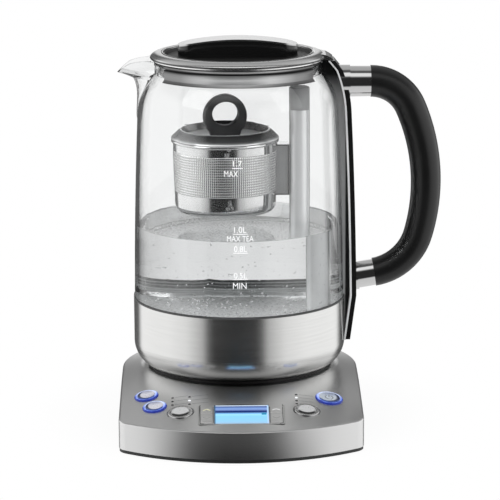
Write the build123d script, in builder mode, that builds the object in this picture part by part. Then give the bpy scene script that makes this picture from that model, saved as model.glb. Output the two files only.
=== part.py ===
"""Automatic tea maker: a glass kettle with a motor-driven infuser basket, on a heated base station.

Frame: millimetres, +Z up. The origin is on the kettle's vertical axis, at the table.
+X points to the handle, -Y to the control panel, -X to the spout.
"""

import os
from math import cos, hypot, radians, sin, sqrt, tan

from build123d import *

# ---------------------------------------------------------------- driving dimensions

# Base station
base_half_width = 82.5  # also the radius of the round back
base_front_radius = 133.0  # front edge, an arc about the kettle axis
base_corner_radius = 11.0
skirt_foot = 3.3  # height at which the steel skirt starts
lip_height = 22.2  # top of the skirt along the front arc
panel_slope = 12.5  # degrees, of the conical control panel
platform_height = 36.5
bend_radius = 14.0  # soft bend between the panel and the platform
cover_wall = 1.0
lip_radius = 1.4
foot_drop = 1.0  # how far the rubber feet stand out below the base plate
foot_radius = 8.0
foot_thickness = 2.6
plate_floor = 2.4
plate_inset = 0.4  # the base plate's outer face, behind the skirt's
plate_rim_height = 9.0
plate_rim_wall = 1.8
boss_radius = 4.0
screw_radius = 1.5
screw_head_radius = 3.0
screw_sink = 1.6
inlet_height = 14.6
inlet_radius = 4.6
inlet_bore = 3.2
inlet_flange = 1.6
inlet_length = 8.0
rib_height = 2.6
power_board_width = 74.0
power_board_length = 36.0
power_board_y = 36.0

# Control panel
ring_radius = 8.3  # lit collar round each of the two left buttons
power_ring_radius = 9.5
bezel_radius = 8.6  # plain collar round each of the two selector buttons
ring_height = 1.0  # collar's top above the panel
ring_depth = 2.6  # collar's foot below the panel
ring_band = 2.0  # collar's width
button_clearance = 0.25
button_height = 1.5  # button's edge above the panel
button_travel = 1.0
stem_radius = 1.6
switch_size = 6.0
switch_height = 3.4
switch_plunger = 0.5
button_flange = 1.2
button_edge = 0.5
dish_depth = 0.8
dish_radius = 24.0
module_thickness = 4.0
frame_rise = 0.2
board_depth = 16.0  # from the panel down to the control board, on the centre line
board_thickness = 1.6
board_setback = 37.0  # from the front edge to the middle of the control board
board_width = 136.0
board_length = 62.0
display_setback = 25.5  # from the front edge to the middle of the display
display_sink = 0.4
display_width = 36.4
display_length = 25.8
window_thickness = 1.4
key_width = 8.6
upper_key_length = 8.6
lower_key_length = 12.8
key_gap = 0.4
key_height = 0.3
key_thickness = 2.4
frame_border = 0.9
frame_thickness = 3.0
lamp_radius = 0.9
lamp_length = 2.6
part_gap = 0.1  # between two pieces that are clipped together
overrun = 40.0  # by which a cutting shape goes past what it cuts
opening_depth = 5.0  # above and below the cover's top, of the cuts for the controls
socket_step = 1.0  # of the base's connector, over the edge of its opening

# Kettle body
band_radius = 74.0
band_top = 84.4
band_straight_foot = 54.0
band_foot_radius = band_radius - 8.5
band_foot = 38.6
band_wall = 0.9
glass_wall = 2.5
glass_foot = 75.6
glass_foot_radius = band_radius - 2.4
glass_step = 85.6
glass_low_radius = band_radius - 0.6
glass_mid_radius = band_radius - 1.8
glass_mid = 150.0
glass_high_radius = band_radius - 4.3
glass_high = 216.0
neck_radius = band_radius - 15.4
neck_start = 243.0
neck_top = 249.5
floor_top = 74.4
floor_thickness = 1.0
collar_wall = 1.3
collar_low = 241.6
collar_high = 248.7
collar_gap = 0.4
spout_reach = band_radius + 9.2
spout_tip_height = 243.2
spout_root = band_radius - 26.0
spout_wall = 1.6
connector_radius = 14.5
connector_top = 52.0
connector_clearance = 0.6
socket_radius = 20.0
socket_top = 57.0
connector_flange = 2.0
contact_ring_radius = 11.5
contact_pin_radius = 2.0
contact_height = 1.2
bottom_plate = 2.0
bottom_rest_inner = band_foot_radius - 9.5
bottom_rest_outer = band_foot_radius - 2.1
spreader_radius = 34.0
spreader_thickness = 3.0
element_ring_radius = 27.0
element_radius = 3.3
element_arc = 320.0
sensor_offset = 10.0
sensor_radius = 3.5
sensor_length = 5.0

# Handle
column_half_width = 11.6
backbone_half_width = 5.0
backbone_depth = 4.0  # black spacer against the glass
trim_depth = 1.2  # bright strip over the spacer
rib_depth = 3.3  # dark cover over the strip
rib_half_width = 10.7
column_foot = 54.0
column_foot_reach = band_radius - 4.9
column_root = band_radius - 26.0  # the column is made from here outwards
trim_margin = 0.6
crown_height = 251.4  # top of the column
crown_radius = neck_radius - 0.6  # of the glass side at the crown
crown_start = 244.7
crown_start_radius = neck_radius + 4.9
ferrule_taper = 0.6
ferrule_flange = 1.0
flange_run = 1.0
upper_flange_reach = glass_high_radius + 7.7
lower_ferrule_run = 24.0
upper_ferrule_height = 235.6
upper_ferrule_radius = 10.6
lower_ferrule_radius = 9.3
grip_reach = glass_high_radius + 22.1
grip_top_radius = 30.3
grip_top_turn = 66.5
grip_back_radius = 133.3
grip_back_turn = 39.5
grip_low_radius = 38.4
grip_low_turn = 64.8
grip_top_half_depth = 11.0
grip_top_half_width = 12.0
grip_low_half_depth = 9.9
grip_low_half_width = 10.8
core_radius = 4.0

# Lid
lid_ring_outer = neck_radius + 2.0
lid_ring_inner = lid_ring_outer - 9.2
lid_ring_low = 252.0
lid_ring_edge = 255.4
lid_ring_high = 257.2
lid_side_gap = 0.5
dish_floor = 254.2
plug_radius = neck_radius - 4.6
plug_low = 241.0
plug_wall = 1.8
seat_gap = 0.3
seal_height = 3.0
seal_low = 244.0
tab_half_width = 12.0
tab_reach = lid_ring_outer + 5.0
tab_end = 0.4  # thickness at the far end
tab_shoulder = lid_ring_outer + 2.6
bar_corner = 10.0
bar_length = 82.5
bar_width = 23.0
bar_end_rise = 5.0  # bar's ends above the ring
bar_crown = 4.4  # middle of the bar above its ends
bar_plate = 1.1

# Infuser
post_offset = 42.6
post_radius = 7.15
post_wall = 1.0
post_top = 216.0
post_cap_top = 231.0
screw_shaft_radius = 2.0
screw_running_clearance = 0.06
bush_length = 6.0
nut_gap = 0.3
basket_offset = -9.2
basket_gap = 5.1  # under the basket when it is right down
basket_low_radius = 35.2
basket_high_radius = 36.2
basket_rim = 195.6
basket_rim_radius = 1.3
basket_wall = 0.8
basket_corner = 5.0
basket_lid_top = 203.6
basket_lid_opening = 30.0
basket_lid_floor = 198.8
basket_lid_wall = 0.9
basket_travel = 66.0
basket_floor = floor_top + basket_gap + basket_travel
finger_ring_centre = 213.1
finger_ring_outer = 15.4
finger_ring_hole = 9.1
finger_ring_neck = 21.0
finger_ring_thickness = 7.0
finger_ring_turn = 12.0
strap_thickness = 0.9
strap_half_width = 7.0
strap_high = 193.0
strap_low = 157.0
motor_radius = 9.0
motor_foot = 43.0
motor_top = 66.0

# ---------------------------------------------------------------- shared forms

slope = radians(panel_slope)
os.makedirs("parts", exist_ok=True)


def save(name, builder):
    builder.part.label = name
    export_step(builder.part, f"parts/{name}.step")


def turned(points, axis_x=0.0):
    """Solid of revolution of a closed polygon of (radius, height) about a vertical axis."""
    with BuildPart() as solid:
        with BuildSketch(Plane.XZ):
            with BuildLine():
                Polyline(*[(axis_x + r, z) for r, z in points], close=True)
            make_face()
        revolve(axis=Axis((axis_x, 0, 0), (0, 0, 1)))
    return solid.part


def rod(x, y, radius, low, high):
    """Upright cylinder."""
    with BuildPart() as solid:
        with BuildSketch(Plane.XY.offset(low)):
            with Locations((x, y)):
                Circle(radius)
        extrude(amount=high - low)
    return solid.part


def lid_room():
    """Space that the lid's ring needs round it and under it."""
    return rod(0, 0, lid_ring_outer + lid_side_gap, lid_ring_low - seat_gap, lid_ring_high)


def panel_height(radius):
    """Height of the conical panel at a distance from the kettle axis."""
    return lip_height + (base_front_radius - radius) * tan(slope)


def panel_plane(x, y, rise=0.0):
    """Plane on the conical panel at (x, y): local z outwards, local x across the panel."""
    radius = hypot(x, y)
    normal = Vector(x / radius * sin(slope), y / radius * sin(slope), cos(slope))
    origin = Vector(x, y, panel_height(radius)) + normal * rise
    return Plane(origin=origin, x_dir=(-y / radius, x / radius, 0), z_dir=normal)


platform_radius = base_front_radius - (platform_height - lip_height) / tan(slope)


def base_outline(inset):
    """Plan of the base: front arc, straight sides, round back, moved in by inset."""
    half = base_half_width - inset
    with BuildSketch() as outline:
        Circle(base_front_radius - inset)
        Rectangle(2 * half, base_front_radius, align=(Align.CENTER, Align.MAX), mode=Mode.INTERSECT)
        front = outline.vertices().filter_by_position(Axis.Y, -base_front_radius, -base_half_width / 2)
        fillet(front, base_corner_radius - inset)
        Circle(half)
    return outline.sketch


def base_form(inset, drop, foot):
    """The base's outer shape, moved in by inset at the sides and down by drop on top."""
    with BuildPart() as form:
        with BuildSketch(Plane.XY.offset(foot)):
            add(base_outline(inset))
        extrude(amount=platform_height - drop - foot)
        with BuildSketch(Plane.XZ) as profile:
            with BuildLine():
                Polyline(
                    (0, platform_height - drop),
                    (platform_radius, platform_height - drop),
                    (base_front_radius + overrun, panel_height(base_front_radius + overrun) - drop),
                    (base_front_radius + overrun, platform_height + overrun),
                    (0, platform_height + overrun),
                    close=True,
                )
            make_face()
            bend = profile.vertices().sort_by_distance((platform_radius, 0, platform_height - drop))[0]
            fillet(bend, bend_radius)
        revolve(axis=Axis.Z, mode=Mode.SUBTRACT)
    return form.part


# ---------------------------------------------------------------- panel layout


def panel_spot(x, setback):
    """Plan place at x, setback in from the arc of the front edge."""
    return x, -sqrt((base_front_radius - setback) ** 2 - x**2)


keep_warm_spot = panel_spot(-64.3, 37.5)
timer_spot = panel_spot(-58.4, 26.2)
program_spot = panel_spot(-40.9, 23.7)
strength_spot = panel_spot(43.9, 24.3)
power_spot = panel_spot(59.9, 34.5)
lit_buttons = (
    ("keep_warm_button", keep_warm_spot, ring_radius),
    ("timer_button", timer_spot, ring_radius),
    ("power_button", power_spot, power_ring_radius),
)
plain_buttons = (
    ("program_button", program_spot, bezel_radius),
    ("strength_button", strength_spot, bezel_radius),
)
all_buttons = lit_buttons + plain_buttons
lamp_spots = (
    [panel_spot(-46.4, setback) for setback in (41.5, 36.9, 32.3)]
    + [panel_spot(-34.9, setback) for setback in (45.8, 40.9, 36.0)]
    + [panel_spot(37.5, setback) for setback in (46.9, 42.9, 38.9, 34.9)]
)
display_radius = base_front_radius - display_setback

display_plane = panel_plane(0, -display_radius, rise=-display_sink)
frame_width = display_width + 2 * (key_width + 2 * key_gap) + 2 * frame_border
frame_length = display_length + 2 * frame_border
key_x = display_width / 2 + key_gap * 2 + key_width / 2
key_field = upper_key_length + lower_key_length + key_gap
key_field_y = -1.0
upper_key_y = key_field_y + key_field / 2 - upper_key_length / 2
lower_key_y = upper_key_y - upper_key_length / 2 - key_gap - lower_key_length / 2
keys = (
    ("temperature_up_key", -key_x, upper_key_y, upper_key_length),
    ("temperature_down_key", -key_x, lower_key_y, lower_key_length),
    ("time_up_key", key_x, upper_key_y, upper_key_length),
    ("time_down_key", key_x, lower_key_y, lower_key_length),
)

board_plane = panel_plane(0, board_setback - base_front_radius, rise=-board_depth)
switch_top = board_plane.offset(board_thickness + switch_height)


def stem_foot(plane, x, y):
    """Depth below a panel plane at which a stem at local (x, y) meets the switch tops."""
    start = plane.from_local_coords(Vector(x, y, 0))
    normal = plane.z_dir
    gap = (start - switch_top.origin).dot(switch_top.z_dir)
    return gap / normal.dot(switch_top.z_dir)


def on_board(plane, x, y):
    """Local board coordinates under a stem."""
    start = plane.from_local_coords(Vector(x, y, 0))
    foot = start - plane.z_dir * stem_foot(plane, x, y)
    local = board_plane.to_local_coords(foot)
    return local.X, local.Y


# ---------------------------------------------------------------- base station

inlet_plane = Plane((0, base_half_width, inlet_height), x_dir=(1, 0, 0), z_dir=(0, 1, 0))

# Formed steel cover, with an opening for each control and for the kettle connector
with BuildPart() as base_cover:
    add(base_form(0, 0, skirt_foot))
    walls = base_cover.faces().filter_by(lambda face: abs(face.normal_at().Z) < 0.01)
    fillet(walls.edges().filter_by(lambda edge: edge.center().Z > lip_height - 1), lip_radius)
    add(base_form(cover_wall, cover_wall, skirt_foot - 1), mode=Mode.SUBTRACT)
    for _, (x, y), radius in all_buttons:
        with BuildSketch(panel_plane(x, y, rise=-opening_depth)):
            Circle(radius + part_gap)
        extrude(amount=2 * opening_depth, mode=Mode.SUBTRACT)
    for x, y in lamp_spots:
        with BuildSketch(panel_plane(x, y, rise=-opening_depth)):
            Circle(lamp_radius + part_gap)
        extrude(amount=2 * opening_depth, mode=Mode.SUBTRACT)
    with BuildSketch(display_plane.offset(-opening_depth)):
        Rectangle(frame_width + 2 * part_gap, frame_length + 2 * part_gap)
    extrude(amount=2 * opening_depth, mode=Mode.SUBTRACT)
    with BuildSketch(Plane.XY.offset(platform_height - opening_depth)):
        Circle(socket_radius - socket_step)
    extrude(amount=2 * opening_depth, mode=Mode.SUBTRACT)
    with BuildSketch(inlet_plane.offset(inlet_flange)):
        Circle(inlet_radius + part_gap)
    extrude(amount=-inlet_length, mode=Mode.SUBTRACT)
save("base_cover", base_cover)

# Moulded base plate: floor, rim that plugs into the skirt, screw bosses and board posts
plate_bottom = foot_drop
rim_inset = cover_wall + part_gap
boss_spots = [(side * x, y) for x, y in ((62, -84), (54, 40)) for side in (-1, 1)]
foot_spots = [(side * x, y) for x, y in ((64, -62), (44, 58)) for side in (-1, 1)]
post_spots = [(side * x, y) for x, y in ((58, -12), (40, 16)) for side in (-1, 1)]
with BuildPart() as base_plate:
    with BuildSketch(Plane.XY.offset(plate_bottom)):
        add(base_outline(plate_inset))
    extrude(amount=skirt_foot - plate_bottom)
    with BuildSketch(Plane.XY.offset(skirt_foot)):
        add(base_outline(rim_inset))
    extrude(amount=plate_rim_height - skirt_foot)
    with BuildSketch(Plane.XY.offset(plate_bottom + plate_floor)):
        add(base_outline(rim_inset + plate_rim_wall))
    extrude(amount=plate_rim_height, mode=Mode.SUBTRACT)
    with BuildSketch(Plane.XY.offset(plate_bottom)):
        with Locations(*boss_spots):
            Circle(boss_radius)
    extrude(amount=plate_rim_height - plate_bottom)
    with BuildSketch(board_plane):
        with Locations(*post_spots):
            Circle(boss_radius - 1)
    extrude(until=Until.NEXT, dir=(0, 0, -1))
    with BuildSketch(Plane.XY.offset(plate_bottom)):
        with Locations((-30, power_board_y), (30, power_board_y)):
            Rectangle(2 * plate_rim_wall, power_board_length - 8)
    extrude(amount=plate_floor + rib_height)
    for x, y in boss_spots:
        add(rod(x, y, screw_radius, plate_bottom, plate_rim_height), mode=Mode.SUBTRACT)
        add(rod(x, y, screw_head_radius, plate_bottom, plate_bottom + screw_sink), mode=Mode.SUBTRACT)
    for x, y in foot_spots:
        add(rod(x, y, foot_radius, 0, foot_thickness), mode=Mode.SUBTRACT)
save("base_plate", base_plate)

# Four rubber feet, bedded in the base plate
with BuildPart() as base_feet:
    with BuildSketch():
        with Locations(*foot_spots):
            Circle(foot_radius)
    extrude(amount=foot_thickness)
    chamfer(base_feet.edges().group_by(Axis.Z)[0], foot_drop / 2)
save("base_feet", base_feet)

# Screws that hold the plate to bosses in the cover
with BuildPart() as base_screws:
    with BuildSketch(Plane.XY.offset(plate_bottom + screw_sink)):
        with Locations(*boss_spots):
            Circle(screw_head_radius - part_gap)
    extrude(amount=-screw_sink + 0.3)
    with BuildSketch(Plane.XY.offset(plate_bottom + screw_sink)):
        with Locations(*boss_spots):
            Circle(screw_radius)
    extrude(amount=plate_rim_height - plate_bottom - screw_sink)
save("base_screws", base_screws)

# Cable entry: a grommet in the back wall
with BuildPart() as cable_gland:
    with BuildSketch(inlet_plane.offset(inlet_flange)):
        Circle(inlet_radius + inlet_flange)
    extrude(amount=-2 * inlet_flange)
    add(base_form(0, 0, 0), mode=Mode.SUBTRACT)
    with BuildSketch(inlet_plane.offset(inlet_flange)):
        Circle(inlet_radius)
    extrude(amount=-inlet_length)
    with BuildSketch(inlet_plane.offset(inlet_flange)):
        Circle(inlet_bore)
    extrude(amount=-inlet_length, mode=Mode.SUBTRACT)
save("cable_gland", cable_gland)


# Control board: follows the panel's slope, trimmed to the cover's inside
with BuildPart() as control_board:
    with BuildSketch(board_plane):
        Rectangle(board_width, board_length)
    extrude(amount=board_thickness)
    add(base_form(rim_inset + plate_rim_wall + 1, cover_wall + 1, 0), mode=Mode.INTERSECT)
save("control_board", control_board)

switch_spots = [on_board(panel_plane(x, y), 0, 0) for _, (x, y), _ in all_buttons]
switch_spots += [on_board(display_plane, x, y) for _, x, y, _ in keys]
with BuildPart() as tact_switches:
    with BuildSketch(board_plane.offset(board_thickness)):
        with Locations(*switch_spots):
            Rectangle(switch_size, switch_size)
    extrude(amount=switch_height - switch_plunger)
    with BuildSketch(board_plane.offset(board_thickness + switch_height - switch_plunger)):
        with Locations(*switch_spots):
            Circle(stem_radius)
    extrude(amount=switch_plunger)
save("tact_switches", tact_switches)

# Mains board with its transformer and relay, on two ribs of the base plate
with BuildPart() as power_board:
    with BuildSketch(Plane.XY.offset(plate_bottom + plate_floor + rib_height)):
        with Locations((0, power_board_y)):
            Rectangle(power_board_width, power_board_length)
    extrude(amount=board_thickness)
    with BuildSketch(Plane.XY.offset(plate_bottom + plate_floor + rib_height + board_thickness)):
        with Locations((-18, power_board_y)):
            Rectangle(22, 20)
        with Locations((14, power_board_y + 4)):
            Rectangle(18, 12)
    extrude(amount=14)
save("power_board", power_board)


def collar_round(x, y, radius):
    """Ring that lines a button's hole in the panel, with an eased top edge."""
    plane = panel_plane(x, y, rise=-ring_depth)
    with BuildPart() as solid:
        with BuildSketch(plane):
            Circle(radius)
            Circle(radius - ring_band, mode=Mode.SUBTRACT)
        extrude(amount=ring_depth + ring_height)
        top = solid.faces().sort_by(Axis(plane.origin, plane.z_dir))[-1]
        fillet(top.edges(), ring_height * 0.6)
    return solid.part


with BuildPart() as button_light_rings:
    for _, (x, y), radius in lit_buttons:
        add(collar_round(x, y, radius))
save("button_light_rings", button_light_rings)

with BuildPart() as button_bezels:
    for _, (x, y), radius in plain_buttons:
        add(collar_round(x, y, radius))
save("button_bezels", button_bezels)


def round_button(x, y, collar_radius, dished):
    """Cap that runs in its collar, a flange that stops it under the collar, and a stem."""
    plane = panel_plane(x, y)
    radius = collar_radius - ring_band - button_clearance
    stem = stem_foot(plane, 0, 0) - button_travel - button_clearance
    with BuildPart() as solid:
        with BuildSketch(plane.offset(-ring_depth - button_flange)):
            Circle(radius)
        extrude(amount=ring_depth + button_flange + button_height)
        top = solid.faces().sort_by(Axis(plane.origin, plane.z_dir))[-1]
        if dished:
            fillet(top.edges(), button_edge)
            with Locations(plane.offset(button_height - dish_depth + dish_radius)):
                Sphere(dish_radius, mode=Mode.SUBTRACT)
        else:
            fillet(top.edges(), button_height)
        with BuildSketch(plane.offset(-ring_depth - button_flange)):
            Circle(radius + button_flange)
        extrude(amount=button_flange - part_gap)
        with BuildSketch(plane.offset(-stem)):
            Circle(stem_radius)
        extrude(amount=stem - ring_depth)
    return solid


for name, (x, y), radius in lit_buttons:
    save(name, round_button(x, y, radius, dished=True))
for name, (x, y), radius in plain_buttons:
    save(name, round_button(x, y, radius, dished=False))

# Display: a frame let into the panel, a window, the display behind it, and four keys
with BuildPart() as display_frame:
    with BuildSketch(display_plane.offset(frame_rise - frame_thickness)):
        RectangleRounded(frame_width, frame_length, frame_border)
        Rectangle(display_width + 2 * part_gap, display_length + 2 * part_gap, mode=Mode.SUBTRACT)
        for side in (-key_x, key_x):
            with Locations((side, key_field_y)):
                Rectangle(
                    key_width + 2 * button_clearance, key_field + 2 * button_clearance, mode=Mode.SUBTRACT
                )
    extrude(amount=frame_thickness)
save("display_frame", display_frame)

with BuildPart() as display_window:
    with BuildSketch(display_plane.offset(-window_thickness)):
        Rectangle(display_width, display_length)
    extrude(amount=window_thickness)
save("display_window", display_window)

with BuildPart() as display_module:
    with BuildSketch(display_plane.offset(-window_thickness - module_thickness)):
        Rectangle(display_width, display_length)
    extrude(amount=module_thickness)
save("display_module", display_module)


def flat_key(x, y, length):
    """Key with eased edges and a stem down to its switch."""
    stem = stem_foot(display_plane, x, y) - button_travel - button_clearance
    with BuildPart() as solid:
        with BuildSketch(display_plane.offset(key_height + frame_rise - key_thickness)):
            with Locations((x, y)):
                RectangleRounded(key_width, length, key_height * 2)
        extrude(amount=key_thickness)
        top = solid.faces().sort_by(Axis(display_plane.origin, display_plane.z_dir))[-1]
        chamfer(top.edges(), key_height)
        with BuildSketch(display_plane.offset(-stem)):
            with Locations((x, y)):
                Circle(stem_radius)
        extrude(amount=stem + key_height + frame_rise - key_thickness)
    return solid


for name, x, y, length in keys:
    save(name, flat_key(x, y, length))

with BuildPart() as indicator_lamps:
    for x, y in lamp_spots:
        with BuildSketch(panel_plane(x, y, rise=-lamp_length)):
            Circle(lamp_radius)
        extrude(amount=lamp_length + part_gap)
save("indicator_lamps", indicator_lamps)

# Round connector that the kettle drops over, at any angle
with BuildPart() as base_connector:
    add(
        turned(
            [
                (0, platform_height - cover_wall - connector_flange),
                (socket_radius + 2, platform_height - cover_wall - connector_flange),
                (socket_radius + 2, platform_height - cover_wall),
                (socket_radius - socket_step - part_gap, platform_height - cover_wall),
                (socket_radius - socket_step - part_gap, platform_height + 0.6),
                (connector_radius, platform_height + 0.6),
                (connector_radius, connector_top - 1),
                (connector_radius - 1, connector_top),
                (0, connector_top),
            ]
        )
    )
save("base_connector", base_connector)

with BuildPart() as connector_contacts:
    with BuildSketch(Plane.XY.offset(connector_top)):
        Circle(contact_ring_radius)
        Circle(contact_ring_radius - 1.5, mode=Mode.SUBTRACT)
        Circle(contact_pin_radius)
    extrude(amount=contact_height)
save("connector_contacts", connector_contacts)

# ---------------------------------------------------------------- kettle body


def glass_profile(grow, foot, foot_reach):
    """Half section of the jug from its foot to its neck, its wall moved out by grow."""
    with BuildSketch(Plane.XZ) as section:
        with BuildLine():
            base = Line((0, foot), (foot_reach, foot))
            wall = ThreePointArc(
                base @ 1, (glass_mid_radius + grow, glass_mid), (glass_high_radius + grow, glass_high)
            )
            shoulder = TangentArc(wall @ 1, (neck_radius + grow, neck_start), tangent=wall % 1)
            neck = Line(shoulder @ 1, (neck_radius + grow, neck_top))
            cap = Line(neck @ 1, (0, neck_top))
            Line(cap @ 1, (0, foot))
        make_face()
    return section.sketch_local


def glass_form(grow, foot, foot_reach):
    with BuildPart() as form:
        with BuildSketch(Plane.XZ):
            add(glass_profile(grow, foot, foot_reach))
        revolve(axis=Axis.Z)
    return form.part


def spout_form(inset):
    """Drawn spout: a ridge up the shoulder and the beak above it, under the curved lip."""
    with BuildPart() as form:
        for levels in (ridge_levels, beak_levels):
            for rise, reach, half_width, fullness in levels:
                tip = -(spout_reach + reach - inset)
                width = half_width - inset
                middle = -spout_root + (tip + spout_root) * spout_middle
                with BuildSketch(Plane.XY.offset(spout_tip_height + rise + inset)):
                    with BuildLine():
                        Spline(
                            (-spout_root, -width),
                            (middle, -width * fullness),
                            (tip, 0),
                            (middle, width * fullness),
                            (-spout_root, width),
                        )
                        Line((-spout_root, -width), (-spout_root, width))
                    make_face()
            loft()
        root_height = spout_tip_height + lip_points[0][1]
        with BuildSketch(Plane.XZ):
            with BuildLine():
                lip = Spline(
                    *[(-(spout_reach + reach), spout_tip_height + rise) for reach, rise in lip_points]
                )
                Polyline(
                    lip @ 1,
                    (-2 * spout_reach, spout_tip_height),
                    (-2 * spout_reach, 2 * spout_tip_height),
                    (0, 2 * spout_tip_height),
                    (0, root_height),
                    lip @ 0,
                )
            make_face()
        extrude(amount=spout_reach, both=True, mode=Mode.SUBTRACT)
    return form.part


spout_middle = 0.55  # where a section's side points stand, from its root to its tip
# height from the tip, reach past the tip, half width at the root, side points' share of it
ridge_levels = (
    (-38.0, -15.2, 6.0, 0.83),
    (-27.0, -12.9, 15.0, 0.83),
    (-15.0, -13.4, 20.0, 0.78),
    (-4.0, -11.0, 19.3, 0.66),
)
beak_levels = (
    (-8.0, -15.5, 19.6, 0.70),
    (-4.0, -11.0, 19.3, 0.66),
    (0.0, 0.0, 18.5, 0.50),
    (5.0, 16.5, 18.3, 0.45),
    (10.0, 33.0, 18.0, 0.45),
)
# reach past the tip and height above it, along the lip
lip_points = ((-23.2, 9.1), (-15.2, 8.3), (-8.2, 6.4), (-3.2, 2.6), (0.0, 0.0))

with BuildPart() as glass_jug:
    add(glass_form(0, glass_step, glass_low_radius))
    add(rod(0, 0, glass_foot_radius, glass_foot, glass_step))
    add(spout_form(0))
    add(glass_form(-glass_wall, glass_foot, glass_foot_radius - glass_wall), mode=Mode.SUBTRACT)
    add(spout_form(spout_wall), mode=Mode.SUBTRACT)
    add(rod(0, 0, neck_radius, neck_top, lid_ring_low), mode=Mode.SUBTRACT)
    add(lid_room(), mode=Mode.SUBTRACT)
save("glass_jug", glass_jug)


def band_form(inset):
    """The band's outer shape: straight wall, rounded in to its foot."""
    with BuildPart() as form:
        with BuildSketch(Plane.XZ):
            with BuildLine():
                base = Line((0, band_foot), (band_foot_radius - inset, band_foot))
                turn = TangentArc(
                    (band_radius - inset, band_straight_foot), base @ 1, tangent=(0, -1)
                )
                wall = Line((band_radius - inset, band_straight_foot), (band_radius - inset, band_top))
                cap = Line(wall @ 1, (0, band_top))
                Line(cap @ 1, (0, band_foot))
            make_face()
        revolve(axis=Axis.Z)
    return form.part


with BuildPart() as steel_band:
    add(band_form(0))
    add(band_form(band_wall), mode=Mode.SUBTRACT)
save("steel_band", steel_band)

# Soft seal between the glass, the band and the floor
with BuildPart() as jug_seal:
    inner = glass_foot_radius
    outer = band_radius - band_wall
    add(
        turned(
            [
                (inner - glass_wall, floor_top),
                (outer, floor_top),
                (outer, band_top),
                (band_radius, band_top),
                (band_radius, glass_step),
                (inner, glass_step),
                (inner, glass_foot),
                (inner - glass_wall, glass_foot),
            ]
        )
    )
save("jug_seal", jug_seal)

# Floor of the jug, with the heat spreader and the ring element brazed under it
with BuildPart() as jug_floor:
    with BuildSketch(Plane.XY.offset(floor_top - floor_thickness)):
        Circle(band_radius - band_wall - part_gap)
        with Locations((post_offset, 0)):
            Circle(screw_shaft_radius + screw_running_clearance, mode=Mode.SUBTRACT)
    extrude(amount=floor_thickness)
save("jug_floor", jug_floor)

spreader_top = floor_top - floor_thickness
spreader_low = spreader_top - spreader_thickness
with BuildPart() as heat_spreader:
    add(rod(0, 0, spreader_radius, spreader_low, spreader_top))
save("heat_spreader", heat_spreader)

with BuildPart() as heating_element:
    with BuildSketch(Plane.XZ):
        with Locations((element_ring_radius, spreader_low - element_radius)):
            Circle(element_radius)
    revolve(axis=Axis.Z, revolution_arc=element_arc)
save("heating_element", heating_element)

with BuildPart() as temperature_sensor:
    add(rod(0, -sensor_offset, sensor_radius, spreader_low - sensor_length, spreader_low))
save("temperature_sensor", temperature_sensor)

# Socket that takes the base's connector
socket_bore = connector_radius + connector_clearance
with BuildPart() as kettle_connector:
    add(
        turned(
            [
                (socket_bore, band_foot),
                (socket_radius + 1, band_foot),
                (socket_radius + 1, band_foot + bottom_plate),
                (socket_radius + 4, band_foot + bottom_plate),
                (socket_radius + 4, band_foot + 2 * bottom_plate),
                (socket_radius, band_foot + 2 * bottom_plate),
                (socket_radius, socket_top + bottom_plate),
                (0, socket_top + bottom_plate),
                (0, socket_top),
                (socket_bore, socket_top),
            ]
        )
    )
save("kettle_connector", kettle_connector)

# Moulded bottom: closes the band and stands on the platform
with BuildPart() as kettle_bottom:
    add(
        turned(
            [
                (socket_radius + 1 + part_gap, band_foot),
                (bottom_rest_inner, band_foot),
                (bottom_rest_inner, platform_height),
                (bottom_rest_outer, platform_height),
                (bottom_rest_outer, band_foot),
                (band_foot_radius - band_wall - part_gap, band_foot),
                (band_foot_radius - band_wall - part_gap, band_foot + bottom_plate),
                (socket_radius + 1 + part_gap, band_foot + bottom_plate),
            ]
        )
    )
save("kettle_bottom", kettle_bottom)

# Steel collar round the neck, open at the spout and at the handle
with BuildPart() as neck_collar:
    add(
        turned(
            [
                (neck_radius, collar_low + collar_wall),
                (neck_radius + collar_wall * 0.7, collar_low),
                (neck_radius + collar_wall, collar_low + 1.5),
                (neck_radius + collar_wall, collar_high - 0.6),
                (neck_radius + collar_wall - 0.6, collar_high),
                (neck_radius, collar_high),
            ]
        )
    )
    add(spout_form(-collar_gap), mode=Mode.SUBTRACT)
    with BuildSketch(Plane.XY.offset(collar_low - 1)):
        with Locations((band_radius, 0)):
            Rectangle(2 * band_radius, 2 * (column_half_width + collar_gap))
    extrude(amount=collar_high - collar_low + 2, mode=Mode.SUBTRACT)
    add(glass_form(0, glass_step, glass_low_radius), mode=Mode.SUBTRACT)
save("neck_collar", neck_collar)

# ---------------------------------------------------------------- handle


def column_form(grow, half_width):
    """Upright column down the side of the jug, its outer face grow away from the glass."""
    with BuildPart() as form:
        with BuildSketch(Plane.XZ):
            with BuildLine():
                foot = (column_foot_reach + grow, column_foot)
                knee = (glass_low_radius + grow, glass_step)
                wall = ThreePointArc(
                    knee, (glass_mid_radius + grow, glass_mid), (glass_high_radius + grow, glass_high)
                )
                start = (crown_start_radius + grow, crown_start)
                shoulder = TangentArc(wall @ 1, start, tangent=wall % 1)
                Polyline(
                    shoulder @ 1,
                    (crown_radius + grow, crown_height),
                    (column_root, crown_height),
                    (column_root, column_foot),
                    foot,
                    knee,
                )
            make_face()
        extrude(amount=half_width, both=True)
        add(rod(0, 0, neck_radius, neck_top, lid_ring_low), mode=Mode.SUBTRACT)
        add(lid_room(), mode=Mode.SUBTRACT)
    return form.part


def handle_path():
    """Line of the grip, from the upper ferrule round to the lower one."""
    with BuildLine(Plane.XZ) as path:
        top = JernArc((grip_reach, upper_ferrule_height), (1, 0), grip_top_radius, -grip_top_turn)
        back = JernArc(top @ 1, top % 1, grip_back_radius, -grip_back_turn)
        JernArc(back @ 1, back % 1, grip_low_radius, -grip_low_turn)
    return path.line


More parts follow.
